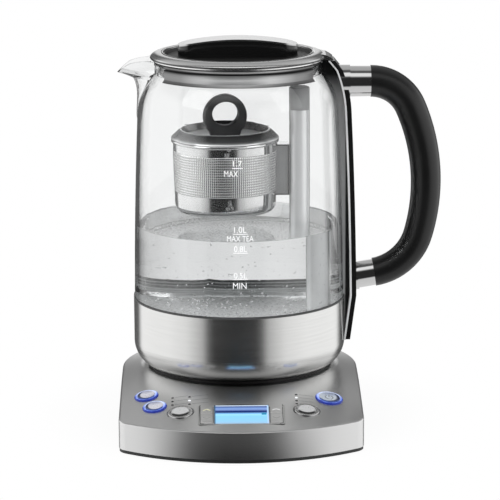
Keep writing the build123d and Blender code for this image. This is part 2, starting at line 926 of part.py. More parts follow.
def ferrule_forms():
    """Upper and lower ferrule, running on inside the column, each with a flange on the column."""
    path = handle_path()
    end, heading = path @ 1, path % 1
    with BuildPart() as forms:
        with BuildSketch(Plane((grip_reach, 0, upper_ferrule_height), x_dir=(0, 1, 0), z_dir=(-1, 0, 0))):
            Circle(upper_ferrule_radius)
        extrude(amount=grip_reach - column_root, taper=-ferrule_taper)
        upper = Plane((upper_flange_reach, 0, upper_ferrule_height), x_dir=(0, 1, 0), z_dir=(-1, 0, 0))
        with BuildSketch(upper):
            Circle(upper_ferrule_radius + ferrule_flange)
        extrude(amount=upper_flange_reach - column_root)
        with BuildSketch(Plane(end, x_dir=(0, 1, 0), z_dir=heading)):
            Circle(lower_ferrule_radius)
        extrude(amount=lower_ferrule_run + ferrule_flange, taper=-ferrule_taper)
        reach = (end.X - glass_low_radius - rib_face - flange_run) / abs(heading.X)
        with BuildSketch(Plane(end + heading * reach, x_dir=(0, 1, 0), z_dir=heading)):
            Circle(lower_ferrule_radius + ferrule_flange)
        extrude(amount=lower_ferrule_run - reach)
    return forms.part


backbone_face = backbone_depth
trim_face = backbone_face + trim_depth
rib_face = trim_face + rib_depth

with BuildPart() as handle_backbone:
    add(column_form(backbone_face, backbone_half_width))
    add(glass_form(0, glass_step, glass_low_radius), mode=Mode.SUBTRACT)
    add(rod(0, 0, band_radius, column_foot - 1, glass_step), mode=Mode.SUBTRACT)
save("handle_backbone", handle_backbone)

with BuildPart() as handle_trim:
    add(column_form(trim_face, column_half_width + trim_margin))
    add(column_form(backbone_face, 2 * column_half_width), mode=Mode.SUBTRACT)
    add(rod(0, 0, band_radius, column_foot - 1, glass_step), mode=Mode.SUBTRACT)
save("handle_trim", handle_trim)

with BuildPart() as handle_rib:
    add(column_form(rib_face, rib_half_width))
    add(column_form(trim_face, 2 * column_half_width), mode=Mode.SUBTRACT)
    add(ferrule_forms(), mode=Mode.SUBTRACT)
save("handle_rib", handle_rib)

with BuildPart() as handle_ferrules:
    add(ferrule_forms())
    add(column_form(trim_face, 2 * column_half_width), mode=Mode.SUBTRACT)
save("handle_ferrules", handle_ferrules)

# Grip, moulded round a steel rod that joins the ferrules, a little slimmer at its lower end
upper_end = Plane((grip_reach, 0, upper_ferrule_height), x_dir=(0, 1, 0), z_dir=(1, 0, 0))
lower_end = Plane(handle_path() @ 1, x_dir=(0, 1, 0), z_dir=handle_path() % 1)
with BuildPart() as handle_core:
    with BuildLine():
        add(handle_path())
    with BuildSketch(upper_end):
        Circle(core_radius)
    sweep()
save("handle_core", handle_core)

with BuildPart() as handle_grip:
    with BuildLine():
        add(handle_path())
    with BuildSketch(upper_end):
        Ellipse(grip_top_half_width, grip_top_half_depth)
    with BuildSketch(lower_end):
        Ellipse(grip_low_half_width, grip_low_half_depth)
    sweep(multisection=True)
    add(handle_core.part, mode=Mode.SUBTRACT)
save("handle_grip", handle_grip)

# ---------------------------------------------------------------- lid

with BuildPart() as lid_ring:
    add(
        turned(
            [
                (lid_ring_inner, lid_ring_low),
                (lid_ring_outer - 0.4, lid_ring_low),
                (lid_ring_outer, lid_ring_low + 0.4),
                (lid_ring_outer, lid_ring_edge - 0.4),
                (lid_ring_outer - 0.6, lid_ring_edge),
                (lid_ring_inner + 0.7, lid_ring_high),
                (lid_ring_inner, lid_ring_high - 0.5),
            ]
        )
    )
    with BuildSketch(Plane.XY.offset(lid_ring_low)):
        with Locations((lid_ring_outer, 0)):
            Rectangle(lid_ring_outer, 2 * (tab_half_width + part_gap))
    extrude(amount=lid_ring_high - lid_ring_low, mode=Mode.SUBTRACT)
save("lid_ring", lid_ring)

# Steel tab that closes the ring at the handle and reaches over the column's top
with BuildPart() as lid_tab:
    with BuildSketch(Plane.XZ):
        with BuildLine():
            Polyline(
                (lid_ring_inner - tab_half_width, lid_ring_low),
                (tab_reach, lid_ring_low),
                (tab_reach, lid_ring_low + tab_end),
                (tab_shoulder, (lid_ring_low + lid_ring_edge) / 2 + tab_end),
                (lid_ring_outer, lid_ring_edge),
                (lid_ring_inner + 0.7, lid_ring_high),
                (lid_ring_inner, lid_ring_high - 0.5),
                (lid_ring_inner - tab_half_width, lid_ring_high - 0.5),
                close=True,
            )
        make_face()
    extrude(amount=tab_half_width, both=True)
    add(rod(0, 0, lid_ring_inner, lid_ring_low, lid_ring_high), mode=Mode.SUBTRACT)
save("lid_tab", lid_tab)

# Black dish inside the ring
with BuildPart() as lid_dish:
    add(
        turned(
            [
                (0, lid_ring_low),
                (lid_ring_inner, lid_ring_low),
                (lid_ring_inner, lid_ring_high - 1.0),
                (lid_ring_inner - 1.2, lid_ring_high - 1.0),
                (lid_ring_inner - 2.4, dish_floor),
                (0, dish_floor),
            ]
        )
    )
save("lid_dish", lid_dish)


bar_end_height = lid_ring_high + bar_end_rise
bar_mid_height = bar_end_height + bar_crown


def bar_arch(drop):
    """Everything under the bar's arched top, lowered by drop."""
    half = bar_length / 2
    with BuildPart() as form:
        with BuildSketch(Plane.XZ):
            with BuildLine():
                arch = ThreePointArc(
                    (-half, bar_end_height - drop), (0, bar_mid_height - drop), (half, bar_end_height - drop)
                )
                Polyline(arch @ 1, (half, dish_floor), (-half, dish_floor), arch @ 0)
            make_face()
        extrude(amount=bar_width, both=True)
    return form.part


def bar_block(inset):
    """Upright block with the bar's rounded plan."""
    with BuildPart() as form:
        with BuildSketch(Plane.XY.offset(dish_floor)):
            RectangleRounded(bar_length - 2 * inset, bar_width - 2 * inset, bar_corner - inset)
        extrude(amount=bar_mid_height - dish_floor)
    return form.part


with BuildPart() as lid_bar:
    add(bar_block(0))
    add(bar_arch(bar_plate), mode=Mode.INTERSECT)
save("lid_bar", lid_bar)

with BuildPart() as lid_bar_plate:
    add(bar_block(part_gap))
    add(bar_arch(0), mode=Mode.INTERSECT)
    add(bar_arch(bar_plate), mode=Mode.SUBTRACT)
save("lid_bar_plate", lid_bar_plate)

# Underside of the lid: seat on the glass rim and a plug down the neck
neck_bore = neck_radius - glass_wall
with BuildPart() as lid_plug:
    add(
        turned(
            [
                (0, plug_low),
                (plug_radius - 1.5, plug_low),
                (plug_radius, plug_low + 1.5),
                (plug_radius, neck_top + seat_gap),
                (neck_radius - 0.6, neck_top + seat_gap),
                (neck_radius - 0.6, lid_ring_low),
                (0, lid_ring_low),
            ]
        )
    )
    add(
        rod(0, 0, plug_radius - plug_wall, plug_low + plug_wall, lid_ring_low - plug_wall),
        mode=Mode.SUBTRACT,
    )
save("lid_plug", lid_plug)

with BuildPart() as lid_seal:
    add(
        turned(
            [
                (plug_radius, seal_low),
                (neck_bore - seat_gap, seal_low + seal_height / 2),
                (plug_radius, seal_low + seal_height),
            ]
        )
    )
save("lid_seal", lid_seal)

# ---------------------------------------------------------------- lift post and drive

with BuildPart() as lift_post:
    add(rod(post_offset, 0, post_radius, floor_top, post_top))
    add(rod(post_offset, 0, post_radius - post_wall, floor_top, post_top), mode=Mode.SUBTRACT)
save("lift_post", lift_post)

with BuildPart() as post_cap:
    add(rod(post_offset, 0, post_radius, post_top, post_cap_top))
    chamfer(post_cap.edges().group_by(Axis.Z)[-1], 0.8)
save("post_cap", post_cap)

with BuildPart() as lead_screw:
    add(rod(post_offset, 0, screw_shaft_radius, motor_top, post_top - 2))
save("lead_screw", lead_screw)

screw_bore = screw_shaft_radius + screw_running_clearance
with BuildPart() as screw_bush:
    add(rod(post_offset, 0, post_radius - post_wall, floor_top, floor_top + bush_length))
    add(rod(post_offset, 0, screw_bore, floor_top, floor_top + bush_length), mode=Mode.SUBTRACT)
save("screw_bush", screw_bush)

with BuildPart() as drive_motor:
    add(rod(post_offset, 0, motor_radius, motor_foot, motor_top - 0.1))
    add(rod(post_offset, 0, motor_radius / 2, motor_foot - 2.4, motor_foot))
save("drive_motor", drive_motor)

# ---------------------------------------------------------------- infuser


def basket_form(inset):
    """The basket's outer shape, moved in by inset."""
    with BuildPart() as form:
        with BuildSketch(Plane.XZ) as section:
            with BuildLine():
                Polyline(
                    (basket_offset, basket_floor + inset),
                    (basket_offset + basket_low_radius - inset, basket_floor + inset),
                    (basket_offset + basket_high_radius - inset, basket_rim),
                    (basket_offset, basket_rim),
                    close=True,
                )
            make_face()
            corner = (basket_offset + basket_low_radius, 0, basket_floor)
            foot = section.vertices().sort_by_distance(corner)[0]
            fillet(foot, basket_corner - inset)
        revolve(axis=Axis((basket_offset, 0, 0), (0, 0, 1)))
    return form.part


with BuildPart() as basket_cup:
    add(basket_form(0))
    with BuildSketch(Plane.XZ):
        with Locations((basket_offset + basket_high_radius, basket_rim)):
            Circle(basket_rim_radius)
    revolve(axis=Axis((basket_offset, 0, 0), (0, 0, 1)))
    add(basket_form(basket_wall), mode=Mode.SUBTRACT)
    add(
        rod(basket_offset, 0, basket_high_radius - basket_wall, basket_rim - 4, basket_rim + 4),
        mode=Mode.SUBTRACT,
    )
save("basket_cup", basket_cup)

# Strap that carries the magnet block beside the basket
strap_face = post_offset - post_radius - nut_gap
with BuildPart() as basket_strap:
    with BuildSketch(Plane.XZ) as section:
        with BuildLine():
            Polyline(
                (basket_offset, strap_low),
                (strap_face, strap_low),
                (strap_face, strap_high),
                (basket_offset, strap_high),
                close=True,
            )
        make_face()
        offset(amount=-strap_thickness, mode=Mode.SUBTRACT)
    extrude(amount=strap_half_width, both=True)
    add(basket_form(0), mode=Mode.SUBTRACT)
save("basket_strap", basket_strap)

with BuildPart() as magnet_block:
    with BuildSketch(Plane.XZ):
        with BuildLine():
            Polyline(
                (basket_offset, strap_low + strap_thickness),
                (strap_face - strap_thickness, strap_low + strap_thickness),
                (strap_face - strap_thickness, strap_high - strap_thickness),
                (basket_offset, strap_high - strap_thickness),
                close=True,
            )
        make_face()
    extrude(amount=strap_half_width - 1, both=True)
    add(basket_form(0), mode=Mode.SUBTRACT)
save("magnet_block", magnet_block)

# Nut on the screw, with the magnets that pull the basket along
with BuildPart() as magnet_nut:
    add(rod(post_offset, 0, post_radius - post_wall - nut_gap, strap_low, strap_high))
    add(rod(post_offset, 0, screw_bore, strap_low, strap_high), mode=Mode.SUBTRACT)
save("magnet_nut", magnet_nut)

# Basket lid: sloped rim, recessed floor
with BuildPart() as basket_lid:
    seat = basket_rim + basket_rim_radius
    add(
        turned(
            [
                (0, basket_lid_floor - basket_lid_wall),
                (basket_lid_opening, basket_lid_floor - basket_lid_wall),
                (basket_high_radius - basket_wall - 1.5, seat - 3),
                (basket_high_radius - basket_wall - seat_gap, seat - 3),
                (basket_high_radius - basket_wall - seat_gap, seat),
                (basket_high_radius + basket_rim_radius, seat),
                (basket_high_radius + basket_rim_radius - 0.4, seat + 1.1),
                (basket_lid_opening + 0.9, basket_lid_top),
                (basket_lid_opening, basket_lid_top - 0.3),
                (basket_lid_opening - 1.2, basket_lid_floor),
                (0, basket_lid_floor),
            ],
            axis_x=basket_offset,
        )
    )
save("basket_lid", basket_lid)

# Ring to lift the basket by
ring_plane = Plane(
    (basket_offset, 0, 0),
    x_dir=(cos(radians(finger_ring_turn)), sin(radians(finger_ring_turn)), 0),
    z_dir=(sin(radians(finger_ring_turn)), -cos(radians(finger_ring_turn)), 0),
)
with BuildPart() as finger_ring:
    with BuildSketch(ring_plane.offset(-finger_ring_thickness / 2)):
        with Locations((0, finger_ring_centre)):
            Circle(finger_ring_outer)
        with Locations((0, (basket_lid_floor + finger_ring_centre) / 2)):
            Rectangle(finger_ring_neck, finger_ring_centre - basket_lid_floor)
        with Locations((0, finger_ring_centre)):
            Circle(finger_ring_hole, mode=Mode.SUBTRACT)
        with Locations((0, basket_lid_floor - finger_ring_outer)):
            Rectangle(4 * finger_ring_outer, 2 * finger_ring_outer, mode=Mode.SUBTRACT)
    extrude(amount=finger_ring_thickness)
save("finger_ring", finger_ring)
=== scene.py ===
"""Automatic tea maker: glass kettle with a motor-driven infuser, standing on its control base.

The frame is in metres; the origin is on the kettle's axis at the table, +X to the handle and -Y to
the control panel. Sizes and places of pieces are written in millimetres and turned to metres by MM.
"""
from math import cos, hypot, pi, radians, sin, sqrt, tan
from random import Random

import bpy
import bmesh
from mathutils import Matrix, Vector
from mathutils.bvhtree import BVHTree


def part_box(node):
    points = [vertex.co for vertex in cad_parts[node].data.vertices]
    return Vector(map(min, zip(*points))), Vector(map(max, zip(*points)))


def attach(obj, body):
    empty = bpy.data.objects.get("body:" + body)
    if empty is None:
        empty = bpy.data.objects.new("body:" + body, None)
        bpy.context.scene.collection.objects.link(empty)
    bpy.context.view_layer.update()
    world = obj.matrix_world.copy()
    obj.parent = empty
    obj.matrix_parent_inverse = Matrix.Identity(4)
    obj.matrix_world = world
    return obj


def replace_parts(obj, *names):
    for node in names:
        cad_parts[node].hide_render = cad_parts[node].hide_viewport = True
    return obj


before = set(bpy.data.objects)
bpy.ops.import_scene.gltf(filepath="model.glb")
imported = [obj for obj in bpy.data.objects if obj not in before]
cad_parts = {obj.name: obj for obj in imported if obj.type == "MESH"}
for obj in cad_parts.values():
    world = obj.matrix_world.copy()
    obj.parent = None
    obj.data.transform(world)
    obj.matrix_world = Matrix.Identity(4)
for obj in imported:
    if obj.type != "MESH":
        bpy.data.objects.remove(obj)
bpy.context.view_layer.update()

MM = 0.001

# ---------------------------------------------------------------------------------------------
# Studio. A pale round table top, a wrap-round white backdrop that is the world itself, wide soft
# panels at both sides and a dark room behind the camera, as steel and glass are usually lit.
# ---------------------------------------------------------------------------------------------


def node(tree, kind, **values):
    """New node; values are its attributes or its inputs by name."""
    made = tree.nodes.new(kind)
    for key, value in values.items():
        if hasattr(made, key):
            setattr(made, key, value)
        else:
            made.inputs[key.replace("_", " ")].default_value = value
    return made


def wire(tree, *pairs):
    """Feeds sockets; each pair is a node's output, a number or a colour, and the socket it goes to."""
    for value, target in pairs:
        if isinstance(value, bpy.types.NodeSocket):
            tree.links.new(value, target)
        elif isinstance(value, tuple) and len(value) < len(target.default_value):
            target.default_value = (*value, 1)
        else:
            target.default_value = value


def ramp(tree, source, stops):
    """Colour ramp of (position, grey or colour), fed by source."""
    made = node(tree, "ShaderNodeValToRGB")
    bar = made.color_ramp
    while len(bar.elements) < len(stops):
        bar.elements.new(0.5)
    for stop, (place, tone) in zip(bar.elements, stops):
        stop.position = place
        stop.color = (*tone, 1) if isinstance(tone, tuple) else (tone, tone, tone, 1)
    wire(tree, (source, made.inputs[0]))
    return made.outputs[0]


def reckon(tree, operation, *parts):
    """Math node on sockets or plain numbers."""
    made = node(tree, "ShaderNodeMath", operation=operation)
    wire(tree, *zip(parts, made.inputs))
    return made.outputs[0]


def reckon_vector(tree, operation, *parts):
    """Vector Math node on sockets or places; a length, distance or product comes out as a number."""
    made = node(tree, "ShaderNodeVectorMath", operation=operation)
    wire(tree, *zip(parts, made.inputs))
    return made.outputs["Value" if operation in ("LENGTH", "DISTANCE", "DOT_PRODUCT") else "Vector"]


def mixed(tree, share, first, second):
    """Colour mix of two sockets or colours."""
    made = node(tree, "ShaderNodeMix", data_type="RGBA")
    for name, part in (("Factor", share), ("A", first), ("B", second)):
        wire(tree, (part, next(s for s in made.inputs if s.name == name and s.enabled)))
    return next(s for s in made.outputs if s.enabled)


def blended(tree, share, first, second):
    """Mix of two shaders."""
    made = node(tree, "ShaderNodeMixShader")
    wire(tree, *zip((share, first, second), made.inputs))
    return made.outputs[0]


def axes_of(tree, vector):
    """The x, y and z of a vector, as three sockets."""
    parts = node(tree, "ShaderNodeSeparateXYZ")
    wire(tree, (vector, parts.inputs[0]))
    return parts.outputs


def along(tree, value, low, high, curve="LINEAR"):
    """How far a value has come from low (0) to high (1)."""
    made = node(tree, "ShaderNodeMapRange", interpolation_type=curve, From_Min=low, From_Max=high)
    wire(tree, (value, made.inputs["Value"]))
    return made.outputs[0]


world = bpy.data.worlds.new("studio_world")
bpy.context.scene.world = world
world.use_nodes = True
room = world.node_tree
room.nodes.clear()
side, depth, rise = axes_of(room, node(room, "ShaderNodeTexCoord").outputs["Generated"])
towards = reckon(room, "MULTIPLY", depth, -1.0)
# round the room, from behind the camera (0) to straight behind the kettle (1); the dark part of
# the room stands a little to the left of the camera
dark_room_turn = 0.113
turn = reckon(room, "ARCTAN2", side, towards)
lean = reckon(room, "MULTIPLY_ADD", reckon(room, "ABSOLUTE", turn), -dark_room_turn / pi, dark_room_turn)
bearing = reckon(room, "DIVIDE", reckon(room, "ABSOLUTE", reckon(room, "ADD", turn, lean)), pi)
# what steel reflects: a dark room in front, soft panels at the sides, black flags at the back edges
steel_stops = (
    (0.0, 0.015), (0.13, 0.03), (0.165, 0.12), (0.2, 0.5), (0.31, 0.86), (0.45, 0.98), (0.74, 0.98),
    (0.8, 0.1), (0.955, 0.1), (0.97, 0.88),
)
# what is seen through glass and water: the backdrop, falling off to the sides
glass_stops = ((0.0, 0.12), (0.5, 0.24), (0.7, 0.36), (0.8, 0.56), (0.9, 0.74), (0.96, 0.83))
water_stops = (
    (0.0, 0.1), (0.7, 0.13), (0.75, 0.28), (0.79, 0.52), (0.86, 0.62), (0.9, 0.68), (0.95, 0.74),
    (1.0, 0.79),
)
steel_walls, glass_walls, water_walls = (
    ramp(room, bearing, stops) for stops in (steel_stops, glass_stops, water_stops)
)
rays = node(room, "ShaderNodeLightPath").outputs
straight = reckon(room, "LESS_THAN", rays["Glossy Depth"], 0.5)
wet = reckon(room, "GREATER_THAN", rays["Transmission Depth"], 5.5)  # more faces than the glass alone has
through = reckon(room, "MULTIPLY", rays["Is Transmission Ray"], reckon(room, "MAXIMUM", straight, wet))
walls = mixed(room, through, steel_walls, mixed(room, wet, glass_walls, water_walls))
# how the walls dim upwards and downwards
wall_light = (1.13, 1.13, 1.13)
level = reckon(room, "MULTIPLY_ADD", rise, 0.5, 0.5)
dimming = ramp(room, level, ((0.25, 0.5), (0.36, 1.0), (0.68, 1.0), (0.75, 0.6)))
walls = reckon_vector(room, "MULTIPLY", reckon_vector(room, "MULTIPLY", walls, dimming), wall_light)
# over the top: straight down (0.25), the camera (0.5), overhead (0.75) and behind the kettle (1)
height = reckon(room, "MULTIPLY_ADD", reckon(room, "ARCTAN2", rise, towards), 0.5 / pi, 0.5)
glass_arch_stops = ((0.0, 0.75), (0.4, 0.6), (0.43, 0.3), (0.55, 0.4), (0.58, 0.9), (1.0, 0.9))
steel_arch_stops = (
    (0.0, 0.75), (0.25, 0.7), (0.403, 0.65), (0.431, 0.05), (0.595, 0.05), (0.63, 0.9), (0.68, 0.9),
    (0.7, 0.1), (0.74, 0.1), (0.77, 0.42), (0.917, 0.5), (1.0, 0.55),
)
arch = mixed(room, through, ramp(room, height, steel_arch_stops), ramp(room, height, glass_arch_stops))
steep = along(room, reckon(room, "ABSOLUTE", rise), 0.35, 0.6, "SMOOTHSTEP")
surround = mixed(room, steep, walls, arch)
mirrored = reckon(room, "MAXIMUM", rays["Is Glossy Ray"], rays["Is Transmission Ray"])
first_hand = reckon(room, "LESS_THAN", rays["Diffuse Depth"], 0.5)  # light that fills the jug is even
reflected = mixed(room, reckon(room, "MULTIPLY", mirrored, first_hand), (0.86, 0.87, 0.88), surround)
glow = node(room, "ShaderNodeBackground")
wire(
    room,
    (mixed(room, rays["Is Camera Ray"], reflected, (1.0, 1.0, 1.0)), glow.inputs["Color"]),
    (glow.outputs[0], node(room, "ShaderNodeOutputWorld").inputs[0]),
)


def material(name):
    """New node material and its node tree."""
    finish = bpy.data.materials.new(name)
    finish.use_nodes = True
    return finish, finish.node_tree


def paint(tree, **sockets):
    """Sets or feeds sockets of a material's own shader, named as they are there."""
    shader = tree.nodes["Principled BSDF"]
    wire(tree, *((value, shader.inputs[name.replace("_", " ")]) for name, value in sockets.items()))


def own_place(tree):
    """Place in the frame, riding with the piece."""
    return node(tree, "ShaderNodeTexCoord").outputs["Object"]


table_radius, table_corners = 0.55, 96
table_mesh = bpy.data.meshes.new("table_top")
corners = [2 * pi * i / table_corners for i in range(table_corners)]
rim = [(table_radius * cos(a), table_radius * sin(a), 0) for a in corners]
table_mesh.from_pydata(rim, [], [range(table_corners)])
table_top = bpy.data.objects.new("table_top", table_mesh)
bpy.context.collection.objects.link(table_top)
table_finish, tree = material("pale_table")
paint(tree, Base_Color=(0.9, 0.9, 0.9), Roughness=0.9)
reach = reckon_vector(tree, "LENGTH", own_place(tree))
fade = ramp(tree, reach, ((0.0, 0.9), (0.1, 0.9), (0.15, 1.0), (1.0, 1.0)))
rays = node(tree, "ShaderNodeLightPath").outputs
white_top = blended(
    tree,
    reckon(tree, "MULTIPLY", fade, rays["Is Camera Ray"]),
    tree.nodes["Principled BSDF"].outputs[0],
    node(tree, "ShaderNodeEmission").outputs[0],
)
# steel does not mirror the table, not even through glass, and glass and water show the backdrop
elsewhere = reckon(tree, "GREATER_THAN", rays["Glossy Depth"], 0.5)
elsewhere = reckon(tree, "MAXIMUM", elsewhere, rays["Is Transmission Ray"])
open_way = node(tree, "ShaderNodeBsdfTransparent").outputs[0]
wire(tree, (blended(tree, elsewhere, white_top, open_way), tree.nodes["Material Output"].inputs[0]))
table_mesh.materials.append(table_finish)
table_top.visible_glossy = False

panel_size, panel_aim = 1.1, Vector((0, 0, 0.12))
for name, place, power in (("panel_left", (-1.5, -0.9, 1.4), 9.0), ("panel_right", (1.6, -0.7, 1.2), 6.0)):
    lamp = bpy.data.lights.new(name, "AREA")
    lamp.size = panel_size
    lamp.energy = power
    panel = bpy.data.objects.new(name, lamp)
    panel.location = place
    panel.rotation_euler = (panel_aim - Vector(place)).to_track_quat("-Z", "Y").to_euler()
    panel.visible_glossy = False
    bpy.context.collection.objects.link(panel)

camera_data = bpy.data.cameras.new("camera")
camera_data.sensor_width = 36.0
camera_data.lens = 191.59
camera = bpy.data.objects.new("camera", camera_data)
camera_place = Vector((-0.01768, -1.8219, 0.5165))
camera_aim = Vector((0.00776, -0.00011, 0.1165))
camera_roll = 0.0053
camera.matrix_world = (
    Matrix.Translation(camera_place)
    @ (camera_aim - camera_place).to_track_quat("-Z", "Y").to_matrix().to_4x4()
    @ Matrix.Rotation(-camera_roll, 4, "Z")
)
bpy.context.collection.objects.link(camera)
bpy.context.scene.camera = camera
bpy.context.scene.view_settings.view_transform = "Standard"

# ---------------------------------------------------------------------------------------------
# Base cover: one deep-drawn shell of 1 mm stainless sheet. The top is brushed straight across,
# the skirt is brushed along its length, and the whole is left satin.
# ---------------------------------------------------------------------------------------------


def polar(tree, centre=(0, 0, 0)):
    """Turn about an upright axis, height, and distance from the axis, as three sockets."""
    shifted = reckon_vector(tree, "SUBTRACT", own_place(tree), centre)
    x, y, z = axes_of(tree, shifted)
    flat = reckon_vector(tree, "MULTIPLY", shifted, (1, 1, 0))
    return reckon(tree, "ARCTAN2", y, x), z, reckon_vector(tree, "LENGTH", flat)


def wound(tree):
    """Turn, height and distance as one vector, for grain that runs round the kettle."""
    made = node(tree, "ShaderNodeCombineXYZ")
    wire(tree, *zip(polar(tree), made.inputs))
    return made.outputs[0]


def noise(tree, where, scale, detail=2.0, roughness=0.5):
    """Cloud of greys; where is the place that it follows, or None for the piece's own box."""
    made = node(tree, "ShaderNodeTexNoise", Scale=scale, Detail=detail, Roughness=roughness)
    if where:
        wire(tree, (where, made.inputs["Vector"]))
    return made.outputs["Fac"]


def grain_lines(tree, where, grain):
    """Brushing lines: noise that is drawn out by its scale along the three axes."""
    return noise(tree, reckon_vector(tree, "MULTIPLY", where, grain), 1.0, 4.0, 0.65)


def relief(tree, height, strength, distance):
    """Gives the surface a low relief."""
    bump = node(tree, "ShaderNodeBump", Strength=strength, Distance=distance)
    wire(tree, (height, bump.inputs["Height"]))
    paint(tree, Normal=bump.outputs[0])


def face_normal(tree):
    """Way that the surface looks."""
    return node(tree, "ShaderNodeNewGeometry").outputs["Normal"]


def dress(finish, *names):
    """Puts a finish on CAD pieces."""
    for name in names:
        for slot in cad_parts[name].material_slots:
            slot.link = "OBJECT"
            slot.material = finish


cover_steel, tree = material("brushed_cover_steel")
across_top = grain_lines(tree, own_place(tree), (9, 2600, 2600))
along_skirt = grain_lines(tree, wound(tree), (1.2, 3000, 60))
on_top = ramp(tree, axes_of(tree, face_normal(tree))[2], ((0.45, 0.0), (0.7, 1.0)))
lines = mixed(tree, on_top, along_skirt, across_top)
steel = ramp(tree, lines, ((0.3, (0.72, 0.72, 0.72)), (0.7, (0.75, 0.75, 0.745))))
# painted shade and reflection: close under the kettle's front the base colour is darkened to near
# black by an ambient occlusion mask, a painted reflection of the kettle's black bottom in the steel;
# the painted shade is full over a middle part and gone at its sides, and starts a little in front of
# the axis
bottom_reach, shade_side, shade_middle, shade_start, shade_full = 30.0, 60.0, 12.0, -20.0, -70.0
covered = node(tree, "ShaderNodeAmbientOcclusion", samples=8, Distance=bottom_reach * MM).outputs["AO"]
x, y = axes_of(tree, own_place(tree))[:2]
sideways = along(tree, reckon(tree, "ABSOLUTE", x), shade_side * MM, shade_middle * MM)
forwards = along(tree, y, shade_start * MM, shade_full * MM)
shade = ramp(tree, covered, ((0.25, 0.95), (0.6, 0.6), (0.95, 0.0)))
shade = reckon(tree, "MULTIPLY", reckon(tree, "MULTIPLY", shade, sideways), forwards)
paint(
    tree,
    Base_Color=mixed(tree, shade, steel, (0.02, 0.02, 0.02)),
    Roughness=ramp(tree, lines, ((0.3, 0.28), (0.7, 0.32))),
    Metallic=1.0,
)
relief(tree, lines, 0.006, 0.0001)
dress(cover_steel, "base_cover")

# ---------------------------------------------------------------------------------------------
# Base plate, feet, screws and cable entry: black moulded plastic plinth let in under the cover,
# soft rubber feet pressed into it, four plated screws, and a rubber grommet at the back.
# ---------------------------------------------------------------------------------------------


def moulded(name, colour, roughness, grain=2600.0, depth=0.12, spread=0.08, coat=0.0):
    """Moulded plastic or rubber: fine texture in the skin, slight variation in sheen."""
    finish, tree = material(name)
    where = own_place(tree)
    cloud = noise(tree, where, 38.0, 3.0)
    pale = tuple(min(1.0, part * 1.15) for part in colour)
    deep = tuple(part * 0.85 for part in colour)
    paint(
        tree,
        Base_Color=ramp(tree, cloud, ((0.3, deep), (0.7, pale))),
        Roughness=ramp(tree, cloud, ((0.3, max(roughness - spread, 0.02)), (0.7, roughness + spread))),
        Coat_Weight=coat,
    )
    relief(tree, noise(tree, where, grain), depth, 0.0001)
    return finish


def brushed(name, colour, roughness, grain, depth, anisotropy=0.0, around=False, streak=0.06, cut=0.1):
    """Brushed metal. grain is the noise scale along x, y, z, or around, up, out of the axis."""
    finish, tree = material(name)
    lines = grain_lines(tree, wound(tree) if around else own_place(tree), grain)
    pale = tuple(min(1.0, part * (1 + cut * 0.8)) for part in colour)
    deep = tuple(part * (1 - cut) for part in colour)
    paint(
        tree,
        Base_Color=ramp(tree, lines, ((0.3, deep), (0.7, pale))),
        Roughness=ramp(tree, lines, ((0.3, max(roughness - streak, 0.03)), (0.7, roughness + streak))),
        Metallic=1.0,
    )
    relief(tree, lines, depth, 0.0002)
    if anisotropy:
        tangent = node(tree, "ShaderNodeTangent", direction_type="RADIAL", axis="Z").outputs[0]
        paint(tree, Anisotropic=anisotropy, Anisotropic_Rotation=0.25, Tangent=tangent)
    return finish


dress(moulded("plinth_black", (0.016, 0.017, 0.017), 0.42), "base_plate", "base_connector")
dress(moulded("bottom_black", (0.005, 0.005, 0.005), 0.5), "kettle_bottom", "kettle_connector")
dress(moulded("foot_rubber", (0.03, 0.03, 0.03), 0.8, 1800.0, 0.3), "base_feet", "cable_gland")
plated = brushed("plated_steel", (0.6, 0.6, 0.58), 0.25, (300, 300, 300), 0.05)
dress(plated, "base_screws", "lead_screw", "handle_core", "heating_element", "drive_motor", "heat_spreader")

# ---------------------------------------------------------------------------------------------
# Electronics under the panel and in the kettle's foot: fibreglass boards, tact switches, the
# display's pale housing, brass contact rings and the magnet nut on the screw.
# ---------------------------------------------------------------------------------------------

dress(moulded("board_green", (0.02, 0.16, 0.06), 0.45, 900.0, 0.2), "control_board", "power_board")
dress(moulded("switch_black", (0.04, 0.04, 0.04), 0.5), "tact_switches", "magnet_nut")
dress(moulded("housing_grey", (0.7, 0.72, 0.73), 0.5), "display_module", "screw_bush")
contact_brass = brushed("contact_brass", (0.85, 0.62, 0.28), 0.22, (500, 500, 500), 0.05)
dress(contact_brass, "connector_contacts", "temperature_sensor")

# ---------------------------------------------------------------------------------------------
# Lit collars: clear light pipes lit blue from below. Painted light and shade by the way each face
# turns makes them pale at the inside and deep blue at the outside, and paler and greyer at the rear.
# They stand round the keep-warm, timer and power caps.
# ---------------------------------------------------------------------------------------------

front_edge, front_edge_height = 133.0, 22.2
panel_slope = radians(12.5)


def panel_spot(x, setback):
    """Plan place on the panel, setback in from its front edge."""
    return x, -sqrt((front_edge - setback) ** 2 - x**2)


def panel_height(x, y):
    """Height of the conical panel at a plan place."""
    return front_edge_height + (front_edge - hypot(x, y)) * tan(panel_slope)


def tilted(x, y):
    """Axes at a plan place on the panel, z square to the panel."""
    up = Vector((sin(panel_slope) * x, sin(panel_slope) * y, cos(panel_slope) * hypot(x, y))).normalized()
    right = (Vector((1, 0, 0)) - up * up.x).normalized()
    turned = Matrix((right, up.cross(right), up)).transposed().to_4x4()
    return Matrix.Translation(Vector((x, y, panel_height(x, y))) * MM) @ turned


def corner(made, x, y, z):
    """New corner of a mesh at a place in millimetres."""
    return made.verts.new((x * MM, y * MM, z * MM))


def mesh_of(made, name, outwards=True):
    """Writes built faces to a new mesh, turned outwards where the form is closed."""
    if outwards:
        bmesh.ops.recalc_face_normals(made, faces=made.faces)
    mesh = bpy.data.meshes.new(name)
    made.to_mesh(mesh)
    made.free()
    return mesh


